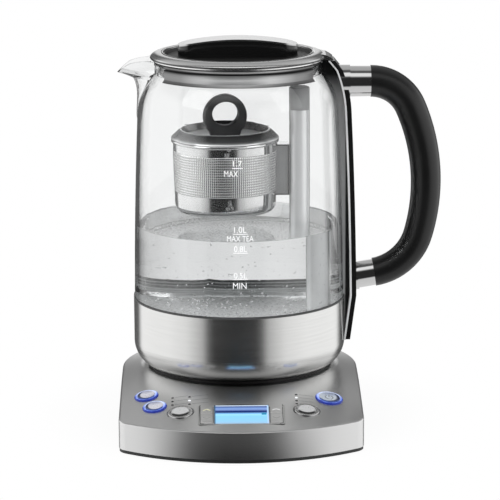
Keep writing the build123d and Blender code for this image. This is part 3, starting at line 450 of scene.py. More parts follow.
def lathe(profile, steps=128, middle=0.0):
    """Turned shape from (radius, height) points about the upright axis at x = middle."""
    made = bmesh.new()
    turns = [2 * pi * i / steps for i in range(steps)]
    rows = []
    for radius, height in profile:
        row = turns if radius else turns[:1]
        rows.append([corner(made, middle + radius * cos(a), radius * sin(a), height) for a in row])
    for low, high in zip(rows, rows[1:]):
        for i in range(steps):
            j = (i + 1) % steps
            if len(low) == 1:
                made.faces.new((low[0], high[j], high[i]))
            elif len(high) == 1:
                made.faces.new((low[i], low[j], high[0]))
            else:
                made.faces.new((low[i], low[j], high[j], high[i]))
    return mesh_of(made, "turned")


def piece(name, mesh, finish, body, smooth=True, place=None):
    """New piece that rides on a body; place is where its own axes stand."""
    made = bpy.data.objects.new(name, mesh)
    bpy.context.collection.objects.link(made)
    mesh.materials.append(finish)
    for face in mesh.polygons:
        face.use_smooth = smooth
    if smooth:
        mesh.set_sharp_from_angle(angle=radians(38))
    if place:
        made.matrix_world = place
    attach(made, body)
    return made


keep_warm_spot = panel_spot(-64.3, 37.5)
timer_spot = panel_spot(-58.4, 26.2)
program_spot = panel_spot(-40.9, 23.7)
strength_spot = panel_spot(43.9, 24.3)
power_spot = panel_spot(59.9, 34.5)

pipe_blue, tree = material("light_pipe_blue")
local = own_place(tree)
# painted light and shade: the tone follows the way each face turns, out from the collar's axis and towards
# its rear
outwards = reckon_vector(tree, "NORMALIZE", reckon_vector(tree, "MULTIPLY", local, (1, 1, 0)))
lean = reckon_vector(tree, "DOT_PRODUCT", outwards, face_normal(tree))
streaks = reckon(tree, "MULTIPLY_ADD", noise(tree, local, 420.0, 1.0), 0.5, -0.25)
slant = reckon(tree, "ADD", reckon(tree, "MULTIPLY_ADD", lean, 0.5, 0.5), streaks)
front_stops = (
    (0.15, (0.45, 0.55, 0.95)), (0.4, (0.2, 0.3, 0.75)), (0.6, (0.09, 0.15, 0.55)),
    (0.8, (0.012, 0.025, 0.22)),
)
rear_stops = ((0.2, (0.5, 0.58, 0.8)), (0.6, (0.34, 0.38, 0.52)), (0.85, (0.12, 0.2, 0.6)))
towards_rear = reckon(tree, "MULTIPLY_ADD", axes_of(tree, outwards)[1], 0.5, 0.5)
at_rear = ramp(tree, towards_rear, ((0.45, 0.0), (0.85, 1.0)))
tone = mixed(tree, at_rear, ramp(tree, slant, front_stops), ramp(tree, slant, rear_stops))
paint(tree, Base_Color=tone, Emission_Color=tone, Emission_Strength=0.5, Roughness=0.12)
collar_width, collar_foot, collar_top = 2.0, -2.6, 1.0
for name, spot, outer in (
    ("keep_warm_collar", keep_warm_spot, 8.3),
    ("timer_collar", timer_spot, 8.3),
    ("power_collar", power_spot, 9.5),
):
    inner = outer - collar_width
    ring = [(inner, collar_foot), (outer, collar_foot), (outer, 0.4), (outer - 0.2, 0.75)]
    ring += [(outer - 0.6, collar_top), (inner + 0.6, collar_top), (inner + 0.2, 0.75), (inner, 0.4)]
    ring += ring[:1]
    collar = piece(name, lathe(ring, 72), pipe_blue, "base", place=tilted(*spot))
    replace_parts(collar, "button_light_rings")

# ---------------------------------------------------------------------------------------------
# Caps: five zinc caps, satin plated, each with a shallow dish for the finger. The power cap has a
# printed ring-and-bar sign; dark seams stay open round every cap.
# ---------------------------------------------------------------------------------------------


def cap_finish(name, pale, shift, edge):
    """Satin cap; shift places a painted reflection, a dark crescent off its middle, and edge is painted on
    its front wall.
    """
    finish, tree = material(name)
    within = node(tree, "ShaderNodeTexCoord").outputs["Generated"]
    cloud = noise(tree, within, 9.0)
    tone = ramp(tree, cloud, ((0.3, tuple(part * 0.96 for part in pale)), (0.7, pale)))
    if shift:
        flat = reckon_vector(tree, "MULTIPLY_ADD", within, (1, 1, 0), (0, 0, 0.5))
        gap = reckon_vector(tree, "DISTANCE", flat, (0.5 + shift, 0.5, 0.5))
        tone = mixed(tree, ramp(tree, gap, ((0.4, 0.0), (0.46, 1.0))), tone, (0.03, 0.04, 0.09))
    facing = reckon(tree, "MULTIPLY_ADD", axes_of(tree, face_normal(tree))[1], 0.5, 0.5)
    tone = mixed(tree, ramp(tree, facing, ((0.25, 1.0), (0.38, 0.0))), tone, edge)
    paint(tree, Base_Color=tone, Roughness=ramp(tree, cloud, ((0.3, 0.26), (0.7, 0.34))), Metallic=0.25)
    return finish


# painted light and shade on the caps' front walls: blue light on the lit caps, dark shade on the plain ones;
# the lit caps also carry a painted reflection, a dark crescent on the side away from the panel's middle, and
# the left and right lit caps differ in tint
painted_blue_front, painted_dark_front = (0.08, 0.12, 0.3), (0.02, 0.02, 0.02)
left_lit_cap = cap_finish("left_lit_cap", (0.8, 0.79, 0.86), 0.1, painted_blue_front)
dress(left_lit_cap, "keep_warm_button", "timer_button")
dress(cap_finish("right_lit_cap", (0.66, 0.72, 0.8), -0.1, painted_blue_front), "power_button")
plain_cap = cap_finish("plain_cap", (0.7, 0.7, 0.7), 0.0, painted_dark_front)
dress(plain_cap, "program_button", "strength_button")


def surface_of(name):
    """Search tree over a CAD piece, to lay prints on it."""
    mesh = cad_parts[name].data
    return BVHTree.FromPolygons([v.co for v in mesh.vertices], [p.vertices for p in mesh.polygons])


def dropped_on(name):
    """Height, in millimetres, of a CAD piece's upper face over a plan place."""
    tree, overhead = surface_of(name), 0.3

    def drop(x, y):
        spot = tree.ray_cast(Vector((x * MM, y * MM, overhead)), Vector((0, 0, -1)))[0]
        return spot.z / MM if spot else panel_height(x, y)

    return drop


def strokes(lines, width, thickness, drop):
    """Flat printed lines: each a row of plan places, dropped on a surface by drop(x, y)."""
    made = bmesh.new()
    for line in lines:
        closed = line[0] == line[-1]
        left, right = [], []
        for i, (x, y) in enumerate(line):
            before = line[i - 1] if i else (line[-2] if closed else line[0])
            after = line[i + 1] if i + 1 < len(line) else (line[1] if closed else line[-1])
            run = Vector((after[0] - before[0], after[1] - before[1])).normalized()
            off = Vector((-run.y, run.x)) * width / 2
            left.append((x + off.x, y + off.y))
            right.append((x - off.x, y - off.y))
        low_left, low_right, high_left, high_right = (
            [corner(made, x, y, drop(x, y) + up) for x, y in row]
            for up in (0, thickness)
            for row in (left, right)
        )
        for i in range(len(line) - 1):
            made.faces.new((high_left[i], high_right[i], high_right[i + 1], high_left[i + 1]))
            made.faces.new((low_left[i], low_left[i + 1], low_right[i + 1], low_right[i]))
            made.faces.new((low_left[i], high_left[i], high_left[i + 1], low_left[i + 1]))
            made.faces.new((low_right[i], low_right[i + 1], high_right[i + 1], high_right[i]))
        for i in (0, len(line) - 1):
            made.faces.new((low_left[i], low_right[i], high_right[i], high_left[i]))
    return mesh_of(made, "print")


def circle(x, y, radius, start=0.0, stop=360.0, count=40):
    """Row of plan places round a middle, between two bearings in degrees."""
    turns = [radians(start + (stop - start) * i / count) for i in range(count + 1)]
    return [(x + radius * cos(a), y + radius * sin(a)) for a in turns]


ink_height, sign_radius, sign_gap, sign_stroke = 0.03, 2.6, 35.0, 0.75
sign_grey = moulded("sign_grey", (0.26, 0.28, 0.31), 0.4)
x, y = power_spot
sign_ring = circle(x, y, sign_radius, 90.0 + sign_gap, 450.0 - sign_gap, 30)
sign_bar = [(x, y + 0.6), (x, y + sign_radius + 1.0)]
sign = strokes([sign_ring, sign_bar], sign_stroke, ink_height, dropped_on("power_button"))
piece("power_sign", sign, sign_grey, "power_button", False)

# ---------------------------------------------------------------------------------------------
# Plain collars of the two selector caps: turned steel, with a dark seam pressed into each side
# where the collar meets the panel.
# ---------------------------------------------------------------------------------------------

dress(brushed("bezel_steel", (0.66, 0.66, 0.66), 0.2, (400, 400, 400), 0.01, cut=0.03), "button_bezels")
seam_black = moulded("seam_black", (0.02, 0.02, 0.022), 0.5)
seam_radius, seam_half, seam_stroke, seam_height = 9.0, 52.0, 0.32, 0.04
seams = [
    circle(x, y, seam_radius, middle - seam_half, middle + seam_half, 24)
    for x, y in (program_spot, strength_spot)
    for middle in (20.0, 160.0)
]
seam_mesh = strokes(seams, seam_stroke, seam_height, panel_height)
piece("collar_seams", seam_mesh, seam_black, "base", False)

# ---------------------------------------------------------------------------------------------
# Indicator lamps: moulded lenses let into the panel. Two are lit white, the others are dark. A
# fine printed line runs from each to the word place beside it, which is left bare.
# ---------------------------------------------------------------------------------------------

lamp_lens, tree = material("lamp_lens")
where = own_place(tree)
flat = reckon_vector(tree, "MULTIPLY", where, (1, 1, 0))
lamp_reach = 2.0
lit = []
for x, y in (panel_spot(-34.9, 40.9), panel_spot(37.5, 42.9)):
    gap = reckon_vector(tree, "DISTANCE", flat, (x * MM, y * MM, 0))
    lit.append(reckon(tree, "LESS_THAN", gap, lamp_reach * MM))
either_lamp = reckon(tree, "MAXIMUM", *lit)
haze = noise(tree, where, 900.0)
dark_lens = ramp(tree, haze, ((0.3, (0.012, 0.012, 0.014)), (0.7, (0.03, 0.03, 0.034))))
paint(
    tree,
    Base_Color=mixed(tree, either_lamp, dark_lens, (0.95, 0.97, 1.0)),
    Emission_Color=mixed(tree, either_lamp, (0.0, 0.0, 0.0), (0.9, 0.95, 1.0)),
    Emission_Strength=0.4,
    Roughness=0.15,
)
dress(lamp_lens, "indicator_lamps")

print_grey = moulded("print_grey", (0.17, 0.18, 0.19), 0.5)
line_start, line_rise, line_slope, line_stroke, line_height = 1.8, 0.35, 0.06, 0.28, 0.02
lines = []
for x, setbacks, length in (
    (-46.4, (41.5, 36.9, 32.3), 8.4),
    (-34.9, (45.8, 40.9, 36.0), 11.0),
    (37.5, (46.9, 42.9, 38.9, 34.9), 9.5),
):
    slope = line_slope if x < 0 else -line_slope
    for setback in setbacks:
        y = panel_spot(x, setback)[1] + line_rise
        lines.append([(x + line_start + length * t, y + slope * length * t) for t in (0, 0.5, 1)])
line_print = strokes(lines, line_stroke, line_height, panel_height)
piece("lamp_lines", line_print, print_grey, "base", False)

# ---------------------------------------------------------------------------------------------
# Keys beside the display: four plates stamped with the panel's own finish. The upper ones carry
# a pale chevron pointing up, the lower ones a grey one pointing down.
# ---------------------------------------------------------------------------------------------

dress(cover_steel, "temperature_up_key", "temperature_down_key", "time_up_key", "time_down_key")
dress(cover_steel, "display_frame")


def plan_box(name):
    """Left, front, right and back of a CAD piece in millimetres."""
    low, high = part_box(name)
    return low[0] / MM, low[1] / MM, high[0] / MM, high[1] / MM


chevron_half, chevron_drop = 2.5, 0.8
for body, tint, width, point in (
    ("temperature_up_key", (0.93, 0.88, 0.55), 0.8, 1.0),
    ("time_up_key", (0.95, 0.95, 0.94), 0.8, 1.0),
    ("temperature_down_key", (0.36, 0.36, 0.35), 0.45, -1.0),
    ("time_down_key", (0.36, 0.36, 0.35), 0.45, -1.0),
):
    left, front, right, back = plan_box(body)
    x, y = (left + right) / 2, (front + back) / 2
    ends = y - point * chevron_drop
    chevron = [(x - chevron_half, ends), (x, y + point), (x + chevron_half, ends)]
    ink = moulded(body.replace("key", "chevron"), tint, 0.45)
    mark = strokes([chevron], width, ink_height, dropped_on(body))
    piece(body.replace("key", "sign"), mark, ink, body, False)

# the dark line round the key fields stands in from the frame's edges
left, front, right, back = plan_box("display_frame")
front += 1.6
back -= 1.2
edge_line = ((3.2, front - 0.9), (1.2, front - 0.6), (0.5, front + 0.3), (0.5, back - 1.5), (0.9, back))
field_lines = [[(left + t, y) for t, y in edge_line], [(right - t, y) for t, y in edge_line]]
field_stroke = 0.5
field_print = strokes(field_lines, field_stroke, ink_height, dropped_on("display_frame"))
piece("key_field_lines", field_print, seam_black, "base", False)

# ---------------------------------------------------------------------------------------------
# Display window: backlit blue liquid crystal behind a clear pane, with a border at its left and
# right edges, dark at the left and pale at the right, and a dark bar across its upper third.
# ---------------------------------------------------------------------------------------------

window_blue, tree = material("display_blue")
x, y = axes_of(tree, own_place(tree))[:2]
low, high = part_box("display_window")
across = along(tree, x, low[0], high[0])
upwards = along(tree, y, low[1], high[1])
smear = reckon(tree, "MULTIPLY_ADD", noise(tree, None, 90.0), 0.05, -0.025)
window_stops = (
    (0.0, (0.3, 0.46, 0.62)), (0.05, (0.28, 0.48, 0.68)), (0.14, (0.25, 0.53, 0.77)),
    (0.4, (0.22, 0.55, 0.8)), (0.5, (0.3, 0.66, 0.92)), (0.57, (0.12, 0.3, 0.6)),
    (0.62, (0.003, 0.02, 0.13)), (0.68, (0.002, 0.015, 0.12)), (0.74, (0.14, 0.22, 0.5)),
    (0.8, (0.22, 0.34, 0.64)), (0.88, (0.11, 0.19, 0.44)), (0.93, (0.05, 0.08, 0.24)),
    (0.965, (0.6, 0.72, 0.84)),
)
tone = ramp(tree, reckon(tree, "ADD", upwards, smear), window_stops)
segment = reckon(
    tree,
    "MULTIPLY",
    ramp(tree, across, ((0.86, 0.0), (0.88, 1.0), (0.955, 1.0), (0.965, 0.0))),
    ramp(tree, upwards, ((0.46, 0.0), (0.49, 1.0), (0.57, 1.0), (0.59, 0.0))),
)
tone = mixed(tree, segment, tone, (0.02, 0.22, 0.38))
border = ramp(tree, across, ((0.0, 1.0), (0.012, 1.0), (0.03, 0.0), (0.965, 0.0), (0.98, 1.0)))
border_tone = ramp(tree, across, ((0.4, (0.03, 0.09, 0.17)), (0.6, (0.42, 0.6, 0.85))))
tone = mixed(tree, border, tone, border_tone)
paint(tree, Base_Color=tone, Emission_Color=tone, Emission_Strength=0.36)
paint(tree, Roughness=0.1, Specular_IOR_Level=0.2)
dress(window_blue, "display_window")

# ---------------------------------------------------------------------------------------------
# Kettle band, floor and lift post: the band is rolled and welded from stainless sheet and brushed
# round and round, the pressed floor is satin. The post is a drawn tube with a grey moulded cap.
# ---------------------------------------------------------------------------------------------

band_grain = (1.6, 2400, 100)
band_steel = brushed("brushed_band_steel", (0.74, 0.74, 0.73), 0.2, band_grain, 0.04, 0.6, True, 0.04, 0.06)
dress(band_steel, "steel_band")

floor_satin, tree = material("floor_satin")
specks = noise(tree, own_place(tree), 620.0, 3.0)
floor_tone = ramp(tree, specks, ((0.36, 0.3), (0.46, 0.75), (0.62, 0.8), (0.68, 1.0)))
paint(tree, Base_Color=floor_tone, Metallic=0.4, Roughness=0.3)
dress(floor_satin, "jug_floor")

# painted light and shade round the post, by bearing: the spout's side (0), the front (0.25) and the handle's
# side (0.5)
post_axis, post_clearance = 42.6, 7.1
post_steel, tree = material("post_steel")
turn = polar(tree, (post_axis * MM, 0, 0))[0]
painted_post_light = (
    (0.0, 0.9), (0.035, 0.4), (0.06, 0.45), (0.095, 1.0), (0.15, 1.0), (0.19, 0.75), (0.24, 0.85),
    (0.3, 0.95), (0.36, 1.0), (0.42, 0.85), (0.46, 0.3), (0.5, 0.9),
)
post_tone = ramp(tree, reckon(tree, "MULTIPLY_ADD", turn, 0.5 / pi, 0.5), painted_post_light)
paint(tree, Base_Color=post_tone, Metallic=0.3, Roughness=0.25)
dress(post_steel, "lift_post")
dress(moulded("cap_grey", (0.29, 0.29, 0.29), 0.4), "post_cap")

# ---------------------------------------------------------------------------------------------
# Glass jug: blown borosilicate with a drawn spout, its foot bedded in the band's seal. The seal is
# ribbed silicone; its lips get painted light and shade, light and dark bands by height, that show
# through the glass.
# ---------------------------------------------------------------------------------------------

seal_foot, seal_top = 74.4, 85.6
seal_silicone, tree = material("seal_silicone")
climb = along(tree, axes_of(tree, own_place(tree))[2], seal_foot * MM, seal_top * MM)
# painted light and shade: light and dark bands up the seal stand for its lit and shaded lips
painted_rib_light = (
    (0.0, 0.7), (0.12, 0.9), (0.2, 0.45), (0.28, 0.8), (0.36, 0.5), (0.44, 0.9), (0.5, 0.16),
    (0.6, 0.1), (0.66, 0.5), (0.7, 0.08), (0.8, 0.1), (0.85, 0.6), (0.9, 0.06),
)
paint(tree, Base_Color=ramp(tree, climb, painted_rib_light), Roughness=0.5)
dress(seal_silicone, "jug_seal", "lid_seal")


def clear(name, tint, index, ripple=0.0):
    """Clear glass or water; light falls through it without a hard shadow."""
    finish, tree = material(name)
    paint(tree, Base_Color=tint, Roughness=0.0, IOR=index, Transmission_Weight=1.0)
    if ripple:
        relief(tree, noise(tree, own_place(tree), 26.0, 1.0), ripple, 0.001)
    in_shadow = node(tree, "ShaderNodeLightPath").outputs["Is Shadow Ray"]
    open_way = node(tree, "ShaderNodeBsdfTransparent", Color=(0.93, 0.94, 0.94, 1)).outputs[0]
    both = blended(tree, in_shadow, tree.nodes["Principled BSDF"].outputs[0], open_way)
    wire(tree, (both, tree.nodes["Material Output"].inputs[0]))
    return finish


dress(clear("jug_glass", (0.985, 0.99, 0.99), 1.47, 0.01), "glass_jug")

# ---------------------------------------------------------------------------------------------
# Water: 0.9 litre in the jug, up to just under the one-litre mark, with a dry sleeve's gap round
# the lift post. Small bubbles cling to the glass and rise off the floor.
# ---------------------------------------------------------------------------------------------

water_top, water_floor = 137.0, 74.39
glass_face = surface_of("glass_jug")
plain_side = Vector((0.31, 0.95, 0))  # a bearing that meets neither spout nor post


def bored(made, x, radius, low, high):
    """Cuts an upright round hole through a piece and applies the cut."""
    drill = bpy.data.objects.new("drill", lathe(((0, low), (radius, low), (radius, high), (0, high)), 48, x))
    bpy.context.collection.objects.link(drill)
    cut = made.modifiers.new("bore", "BOOLEAN")
    cut.operation = "DIFFERENCE"
    cut.solver = "EXACT"
    cut.object = drill
    view = bpy.context.evaluated_depsgraph_get()
    view.update()
    old, made.data = made.data, bpy.data.meshes.new_from_object(made.evaluated_get(view))
    made.modifiers.clear()
    bpy.data.objects.remove(drill)
    bpy.data.meshes.remove(old)


skin = 0.03  # the water stands this far into the glass, so that no film of air shows
water_profile = [(0, water_floor), (66.0, water_floor)]
for height in (75.5, 77, 79, 81, 84, 86.5, 90, 95, 105, 115, 125, 132, 136.3):
    inside = glass_face.ray_cast(Vector((0, 0, height * MM)), plain_side)[3]
    if inside:
        water_profile.append((inside / MM + skin, height))
# the water creeps a little up the glass
brim = water_profile[-1][0]
water_profile += [(brim, 137.6), (brim - 0.5, 137.3), (brim - 1.4, 137.08)]
water_profile += [(brim - 3.0, water_top), (0, water_top)]
tea_water = clear("water", (0.955, 0.96, 0.965), 1.333)
water = piece("water", lathe(water_profile, 192), tea_water, "kettle")
below_water, above_water = 70.0, 145.0
bored(water, post_axis, post_clearance, below_water, above_water)

floor_reach, floor_top, wall_reach, highest = 68.5, 75.6, 69.3, 134.0
glass_reach, post_reach, flatness = 69.9, 9.5, 0.86
throw = Random(7)
bubbles = bmesh.new()
for i in range(700):
    turn = throw.uniform(0, 2 * pi)
    kind = throw.random()
    size = throw.uniform(0.25, 0.8)
    if kind < 0.42:  # on the floor
        radius, height = floor_reach * sqrt(throw.random()), floor_top + throw.random() ** 2 * 9
    elif kind < 0.9:  # on the glass
        radius, height = wall_reach, throw.uniform(78, highest)
        size *= 0.55
    else:  # on their way up
        radius, height = throw.uniform(5, 62), throw.uniform(84, highest)
        size *= 0.7
    spot = Vector((radius * cos(turn), radius * sin(turn), height))
    if hypot(spot.x - post_axis, spot.y) < post_reach or radius + size > glass_reach:
        continue
    flattened = Matrix.Translation(spot * MM) @ Matrix.Diagonal((1, 1, flatness, 1))
    bmesh.ops.create_icosphere(bubbles, subdivisions=2, radius=size * MM, matrix=flattened)
air = clear("air_bubble", (0.98, 0.99, 1.0), 0.75)
piece("water_bubbles", mesh_of(bubbles, "bubbles", False), air, "kettle")

# ---------------------------------------------------------------------------------------------
# Level marks: white ceramic ink, screen printed on the front of the glass and fired on. Each level
# has its figure over a rule, and three of them have the name of a limit below.
# ---------------------------------------------------------------------------------------------

ink_white, tree = material("ink_white")
fleck = noise(tree, own_place(tree), 1500.0)
tone = ramp(tree, fleck, ((0.3, (0.86, 0.86, 0.86)), (0.7, (0.97, 0.97, 0.97))))
# the ink's faint glow is painted light; no lamp is in it
paint(tree, Base_Color=tone, Emission_Color=tone, Emission_Strength=0.25, Roughness=0.5)
ink_under, ink_out, in_front = 0.005, 0.05, -0.2


def on_glass(x, z, out):
    """Place on the front of the glass at plan x and height z, stood out by out millimetres."""
    spot = glass_face.ray_cast(Vector((x * MM, in_front, z * MM)), Vector((0, 1, 0)))[0]
    return spot + Vector((x * MM, spot.y, 0)).normalized() * out * MM


def wrapped(flat):
    """Turns a flat mesh in x, z millimetres into a thin print on the glass."""
    made = bmesh.new()
    made.from_mesh(flat)
    bmesh.ops.triangulate(made, faces=made.faces)
    places = [(v.co.x, v.co.y) for v in made.verts]
    for vert, (x, z) in zip(made.verts, places):
        vert.co = on_glass(x, z, ink_out)
    faces = list(made.faces)
    edges = [edge for edge in made.edges if edge.is_boundary]
    under = [made.verts.new(on_glass(x, z, ink_under)) for x, z in places]
    made.verts.index_update()
    for face in faces:
        made.faces.new([under[v.index] for v in reversed(face.verts)])
    for edge in edges:
        a, b = edge.verts
        made.faces.new((a, b, under[b.index], under[a.index]))
    return mesh_of(made, "mark")


def lettering(words, left, right, low, high):
    """Figures or words, fitted to a box in millimetres."""
    curve = bpy.data.curves.new("lettering", "FONT")
    curve.body = words
    curve.size = 1.0
    curve.resolution_u = 3
    holder = bpy.data.objects.new("lettering", curve)
    bpy.context.collection.objects.link(holder)
    mesh = bpy.data.meshes.new_from_object(holder)
    bpy.data.objects.remove(holder)
    for axis, (start, stop) in enumerate(((left, right), (low, high))):
        values = [v.co[axis] for v in mesh.vertices]
        least, span = min(values), max(values) - min(values)
        for v in mesh.vertices:
            v.co[axis] = start + (v.co[axis] - least) / span * (stop - start)
    return mesh


def rule(left, right, height):
    """Printed line under a level."""
    half, count = 0.225, 8
    steps = [left + (right - left) * i / count for i in range(count + 1)]
    verts = [(x, height + up, 0) for up in (-half, half) for x in steps]
    faces = [(i, i + 1, count + 2 + i, count + 1 + i) for i in range(count)]
    mesh = bpy.data.meshes.new("rule")
    mesh.from_pydata(verts, [], faces)
    return mesh


marks = bmesh.new()
for flat in (
    lettering("1.7", -4.3, 1.7, 189.2, 193.0),
    rule(-5.0, 2.4, 187.9),
    lettering("MAX", -10.3, -1.0, 182.2, 186.2),
    lettering("1.0L", -3.9, 4.5, 144.1, 148.3),
    rule(-4.6, 5.5, 143.2),
    lettering("MAX TEA", -8.7, 9.2, 138.2, 142.0),
    lettering("0.8L", -4.0, 4.7, 131.0, 135.2),
    rule(-4.6, 5.3, 130.2),
    lettering("0.5L", -4.1, 4.6, 112.8, 116.7),
    rule(-4.6, 5.2, 112.1),
    lettering("MIN", -4.85, 4.3, 105.7, 109.8),
):
    marks.from_mesh(wrapped(flat))
piece("level_marks", mesh_of(marks, "marks", False), ink_white, "kettle", False)

# ---------------------------------------------------------------------------------------------
# Handle column: black moulded spacer and cover down the jug with a pale satin strip between them,
# and two polished ferrules that the grip is screwed to.
# ---------------------------------------------------------------------------------------------

bright = brushed("bright_steel", (0.8, 0.8, 0.8), 0.06, (80, 80, 80), 0.005, streak=0.02, cut=0.02)
dress(bright, "handle_ferrules")
dress(moulded("trim_satin", (0.72, 0.72, 0.72), 0.3, 900.0, 0.02, 0.03), "handle_trim")
dress(moulded("cover_black", (0.008, 0.008, 0.008), 0.2, 600.0, 0.02, 0.03), "handle_rib")

# the spacer's side towards the glass, within 74.2 mm of the axis, is grey up to 221.25 mm and fades back to
# black by 241.25 mm, where it is seen through the jug's edge
grey_reach, grey_gone, grey_top, grey_end = 74.2, 74.8, 221.25, 241.25
spacer_black, tree = material("spacer_black")
height, away = polar(tree)[1:]
against_glass = along(tree, away, grey_gone * MM, grey_reach * MM)
below = along(tree, height, grey_end * MM, grey_top * MM)
grey_patch = ramp(tree, noise(tree, None, 300.0), ((0.3, 0.26), (0.7, 0.4)))
spacer_tone = mixed(tree, reckon(tree, "MULTIPLY", against_glass, below), (0.005, 0.005, 0.005), grey_patch)
paint(tree, Base_Color=spacer_tone, Roughness=0.3)
dress(spacer_black, "handle_backbone")

# ---------------------------------------------------------------------------------------------
# Neck collar: satin stainless sheet rolled round the jug's neck, with a bead near its top edge. It
# is open at the spout and at the handle column.
# ---------------------------------------------------------------------------------------------


def part_lathe(profile, start, stop, steps=96):
    """Turned shape from a closed row of (radius, height) points, between two bearings in degrees."""
    made = bmesh.new()
    rows = []
    for i in range(steps + 1):
        a = radians(start + (stop - start) * i / steps)
        rows.append([corner(made, radius * cos(a), radius * sin(a), height) for radius, height in profile])
    for near, far in zip(rows, rows[1:]):
        for j in range(len(profile)):
            k = (j + 1) % len(profile)
            made.faces.new((near[j], near[k], far[k], far[j]))
    made.faces.new(rows[0])
    made.faces.new(rows[-1])
    return mesh_of(made, "turned_part")


collar_front = [
    (58.7, 251.4), (59.2, 251.65), (59.9, 251.6), (60.35, 251.2), (60.45, 250.6), (60.2, 250.05),
    (59.3, 249.8), (59.2, 249.1), (59.9, 248.8), (60.4, 248.1), (60.5, 247.0), (60.35, 245.6), (60.0, 244.2),
]
collar_back = [(58.7, 243.4)]
# the foot follows the glass, measured inwards from a place outside it
outside_radius, outside, inwards = 90.0, Vector((0.03, -0.0848, 0)), Vector((-0.03, 0.0848, 0))
for height in (242.4, 241.4, 240.4):
    gap = glass_face.ray_cast(outside + Vector((0, 0, height * MM)), inwards)[3] / MM
    away = outside_radius - gap
    collar_front.append((away + 0.9, height))
    collar_back.insert(0, (away + 0.1, height))

collar_low, collar_high = 240.2, 251.7
collar_steel, tree = material("collar_steel")
turn, height = polar(tree)[:2]
climb = along(tree, height, collar_low * MM, collar_high * MM)
# painted light and shade: light and dark bands by height stand for the lit and shaded faces of the bead and
# edges, and the steel is painted darker towards its left and right sides
painted_collar_light = (
    (0.0, 0.3), (0.06, 0.4), (0.25, 0.8), (0.45, 1.0), (0.6, 0.7), (0.72, 0.15), (0.77, 0.015),
    (0.82, 0.02), (0.86, 0.3), (0.92, 0.7), (0.97, 0.3), (1.0, 0.05),
)
sideways = reckon(tree, "ABSOLUTE", reckon(tree, "COSINE", turn))
painted_side_shade = ramp(tree, sideways, ((0.0, 0.0), (0.35, 0.15), (0.65, 0.68), (0.85, 0.75), (1.0, 0.8)))
tone = mixed(tree, painted_side_shade, ramp(tree, climb, painted_collar_light), (0.02, 0.02, 0.02))
paint(tree, Base_Color=tone, Metallic=0.75, Roughness=0.34)
spout_opening, column_opening = (147.0, -147.0), (-32.0, 14.0)
for name, start, stop in (
    ("neck_collar_front", spout_opening[1], column_opening[0]),
    ("neck_collar_back", column_opening[1], spout_opening[0]),
):
    ring_part = part_lathe(collar_front + collar_back, start, stop)
    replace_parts(piece(name, ring_part, collar_steel, "kettle"), "neck_collar")

# ---------------------------------------------------------------------------------------------
# Grip: black plastic moulded over a steel rod, with a fine satin texture. It is screwed between
# the two ferrules.
# ---------------------------------------------------------------------------------------------

dress(moulded("grip_black", (0.006, 0.006, 0.006), 0.33, 2200.0, 0.04, 0.03), "handle_grip")

# ---------------------------------------------------------------------------------------------
# Lid: spun steel ring with a tab to the handle, black moulded dish and bar with a satin plate on
# the bar, and fine turned grooves where the ring meets the dish.
# ---------------------------------------------------------------------------------------------

lid_grain = (1.2, 300, 2600)
lid_steel = brushed("spun_lid_steel", (0.62, 0.62, 0.62), 0.16, lid_grain, 0.04, 0.4, True, 0.04)
dress(lid_steel, "lid_tab")
dress(brushed("satin_plate_steel", (0.6, 0.6, 0.6), 0.2, (12, 2400, 2400), 0.04), "lid_bar_plate")
dress(moulded("gloss_black", (0.006, 0.006, 0.006), 0.16, 600.0, 0.02, 0.03, 0.6), "lid_bar")
dress(moulded("dish_black", (0.005, 0.005, 0.005), 0.5, 600.0, 0.02, 0.03), "lid_dish", "lid_plug")

ring_inner, ring_outer = 51.4, 60.6
ring_profile = [
    (ring_inner, 256.7), (51.6, 257.1), (52.0, 257.2), (52.35, 257.1), (52.6, 256.8), (52.85, 256.8),
    (53.1, 257.0), (53.6, 257.05), (55.0, 256.95), (56.5, 256.65), (58.0, 256.15), (59.2, 255.45),
    (60.0, 254.7), (60.45, 254.0), (ring_outer, 253.4), (60.45, 253.0), (59.9, 252.8), (59.3, 252.7),
    (59.3, 252.0), (ring_inner, 252.0), (ring_inner, 256.7),
]
rim_steel, tree = material("rim_steel")
out = along(tree, polar(tree)[2], ring_inner * MM, ring_outer * MM)
turned_rings = grain_lines(tree, wound(tree), lid_grain)
# painted light and shade: bright and dark rings across the ring's width stand for its highlights and shaded
# faces, with a dark line at its outer edge
painted_rim_light = (
    (0.0, 0.5), (0.05, 0.7), (0.1, 0.1), (0.15, 0.06), (0.2, 0.55), (0.26, 0.4), (0.6, 0.55),
    (0.84, 0.85), (0.95, 1.0), (0.985, 0.1),
)
paint(
    tree,
    Base_Color=ramp(tree, out, painted_rim_light),
    Roughness=ramp(tree, turned_rings, ((0.3, 0.17), (0.7, 0.24))),
    Metallic=1.0,
)
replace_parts(piece("lid_rim", lathe(ring_profile, 192), rim_steel, "lid"), "lid_ring")

groove_section = [(-0.12, 256.2), (0.12, 256.2), (0.09, 256.38), (0, 256.46), (-0.09, 256.38), (-0.12, 256.2)]
for name, radius in (("dish_groove_outer", 50.9), ("dish_groove_inner", 50.45)):
    groove = lathe([(radius + out, height) for out, height in groove_section], 128)
    piece(name, groove, lid_steel, "lid")

# ---------------------------------------------------------------------------------------------
# Infuser basket: deep-drawn stainless cup whose wall is photo-etched with rows of small square
# holes between a plain foot and a plain collar with a rolled rim.
# ---------------------------------------------------------------------------------------------

polished = brushed("polished_steel", (0.78, 0.78, 0.78), 0.07, (60, 60, 60), 0.01, streak=0.02, cut=0.03)
dress(polished, "basket_strap", "basket_lid")
dress(moulded("magnet_grey", (0.3, 0.3, 0.3), 0.4), "magnet_block")

basket_axis, cup_wide, foot_round = -9.2, 35.2, 5.0
cup_foot, mesh_low, mesh_high, cup_rim = 145.5, 160.3, 188.9, 195.6


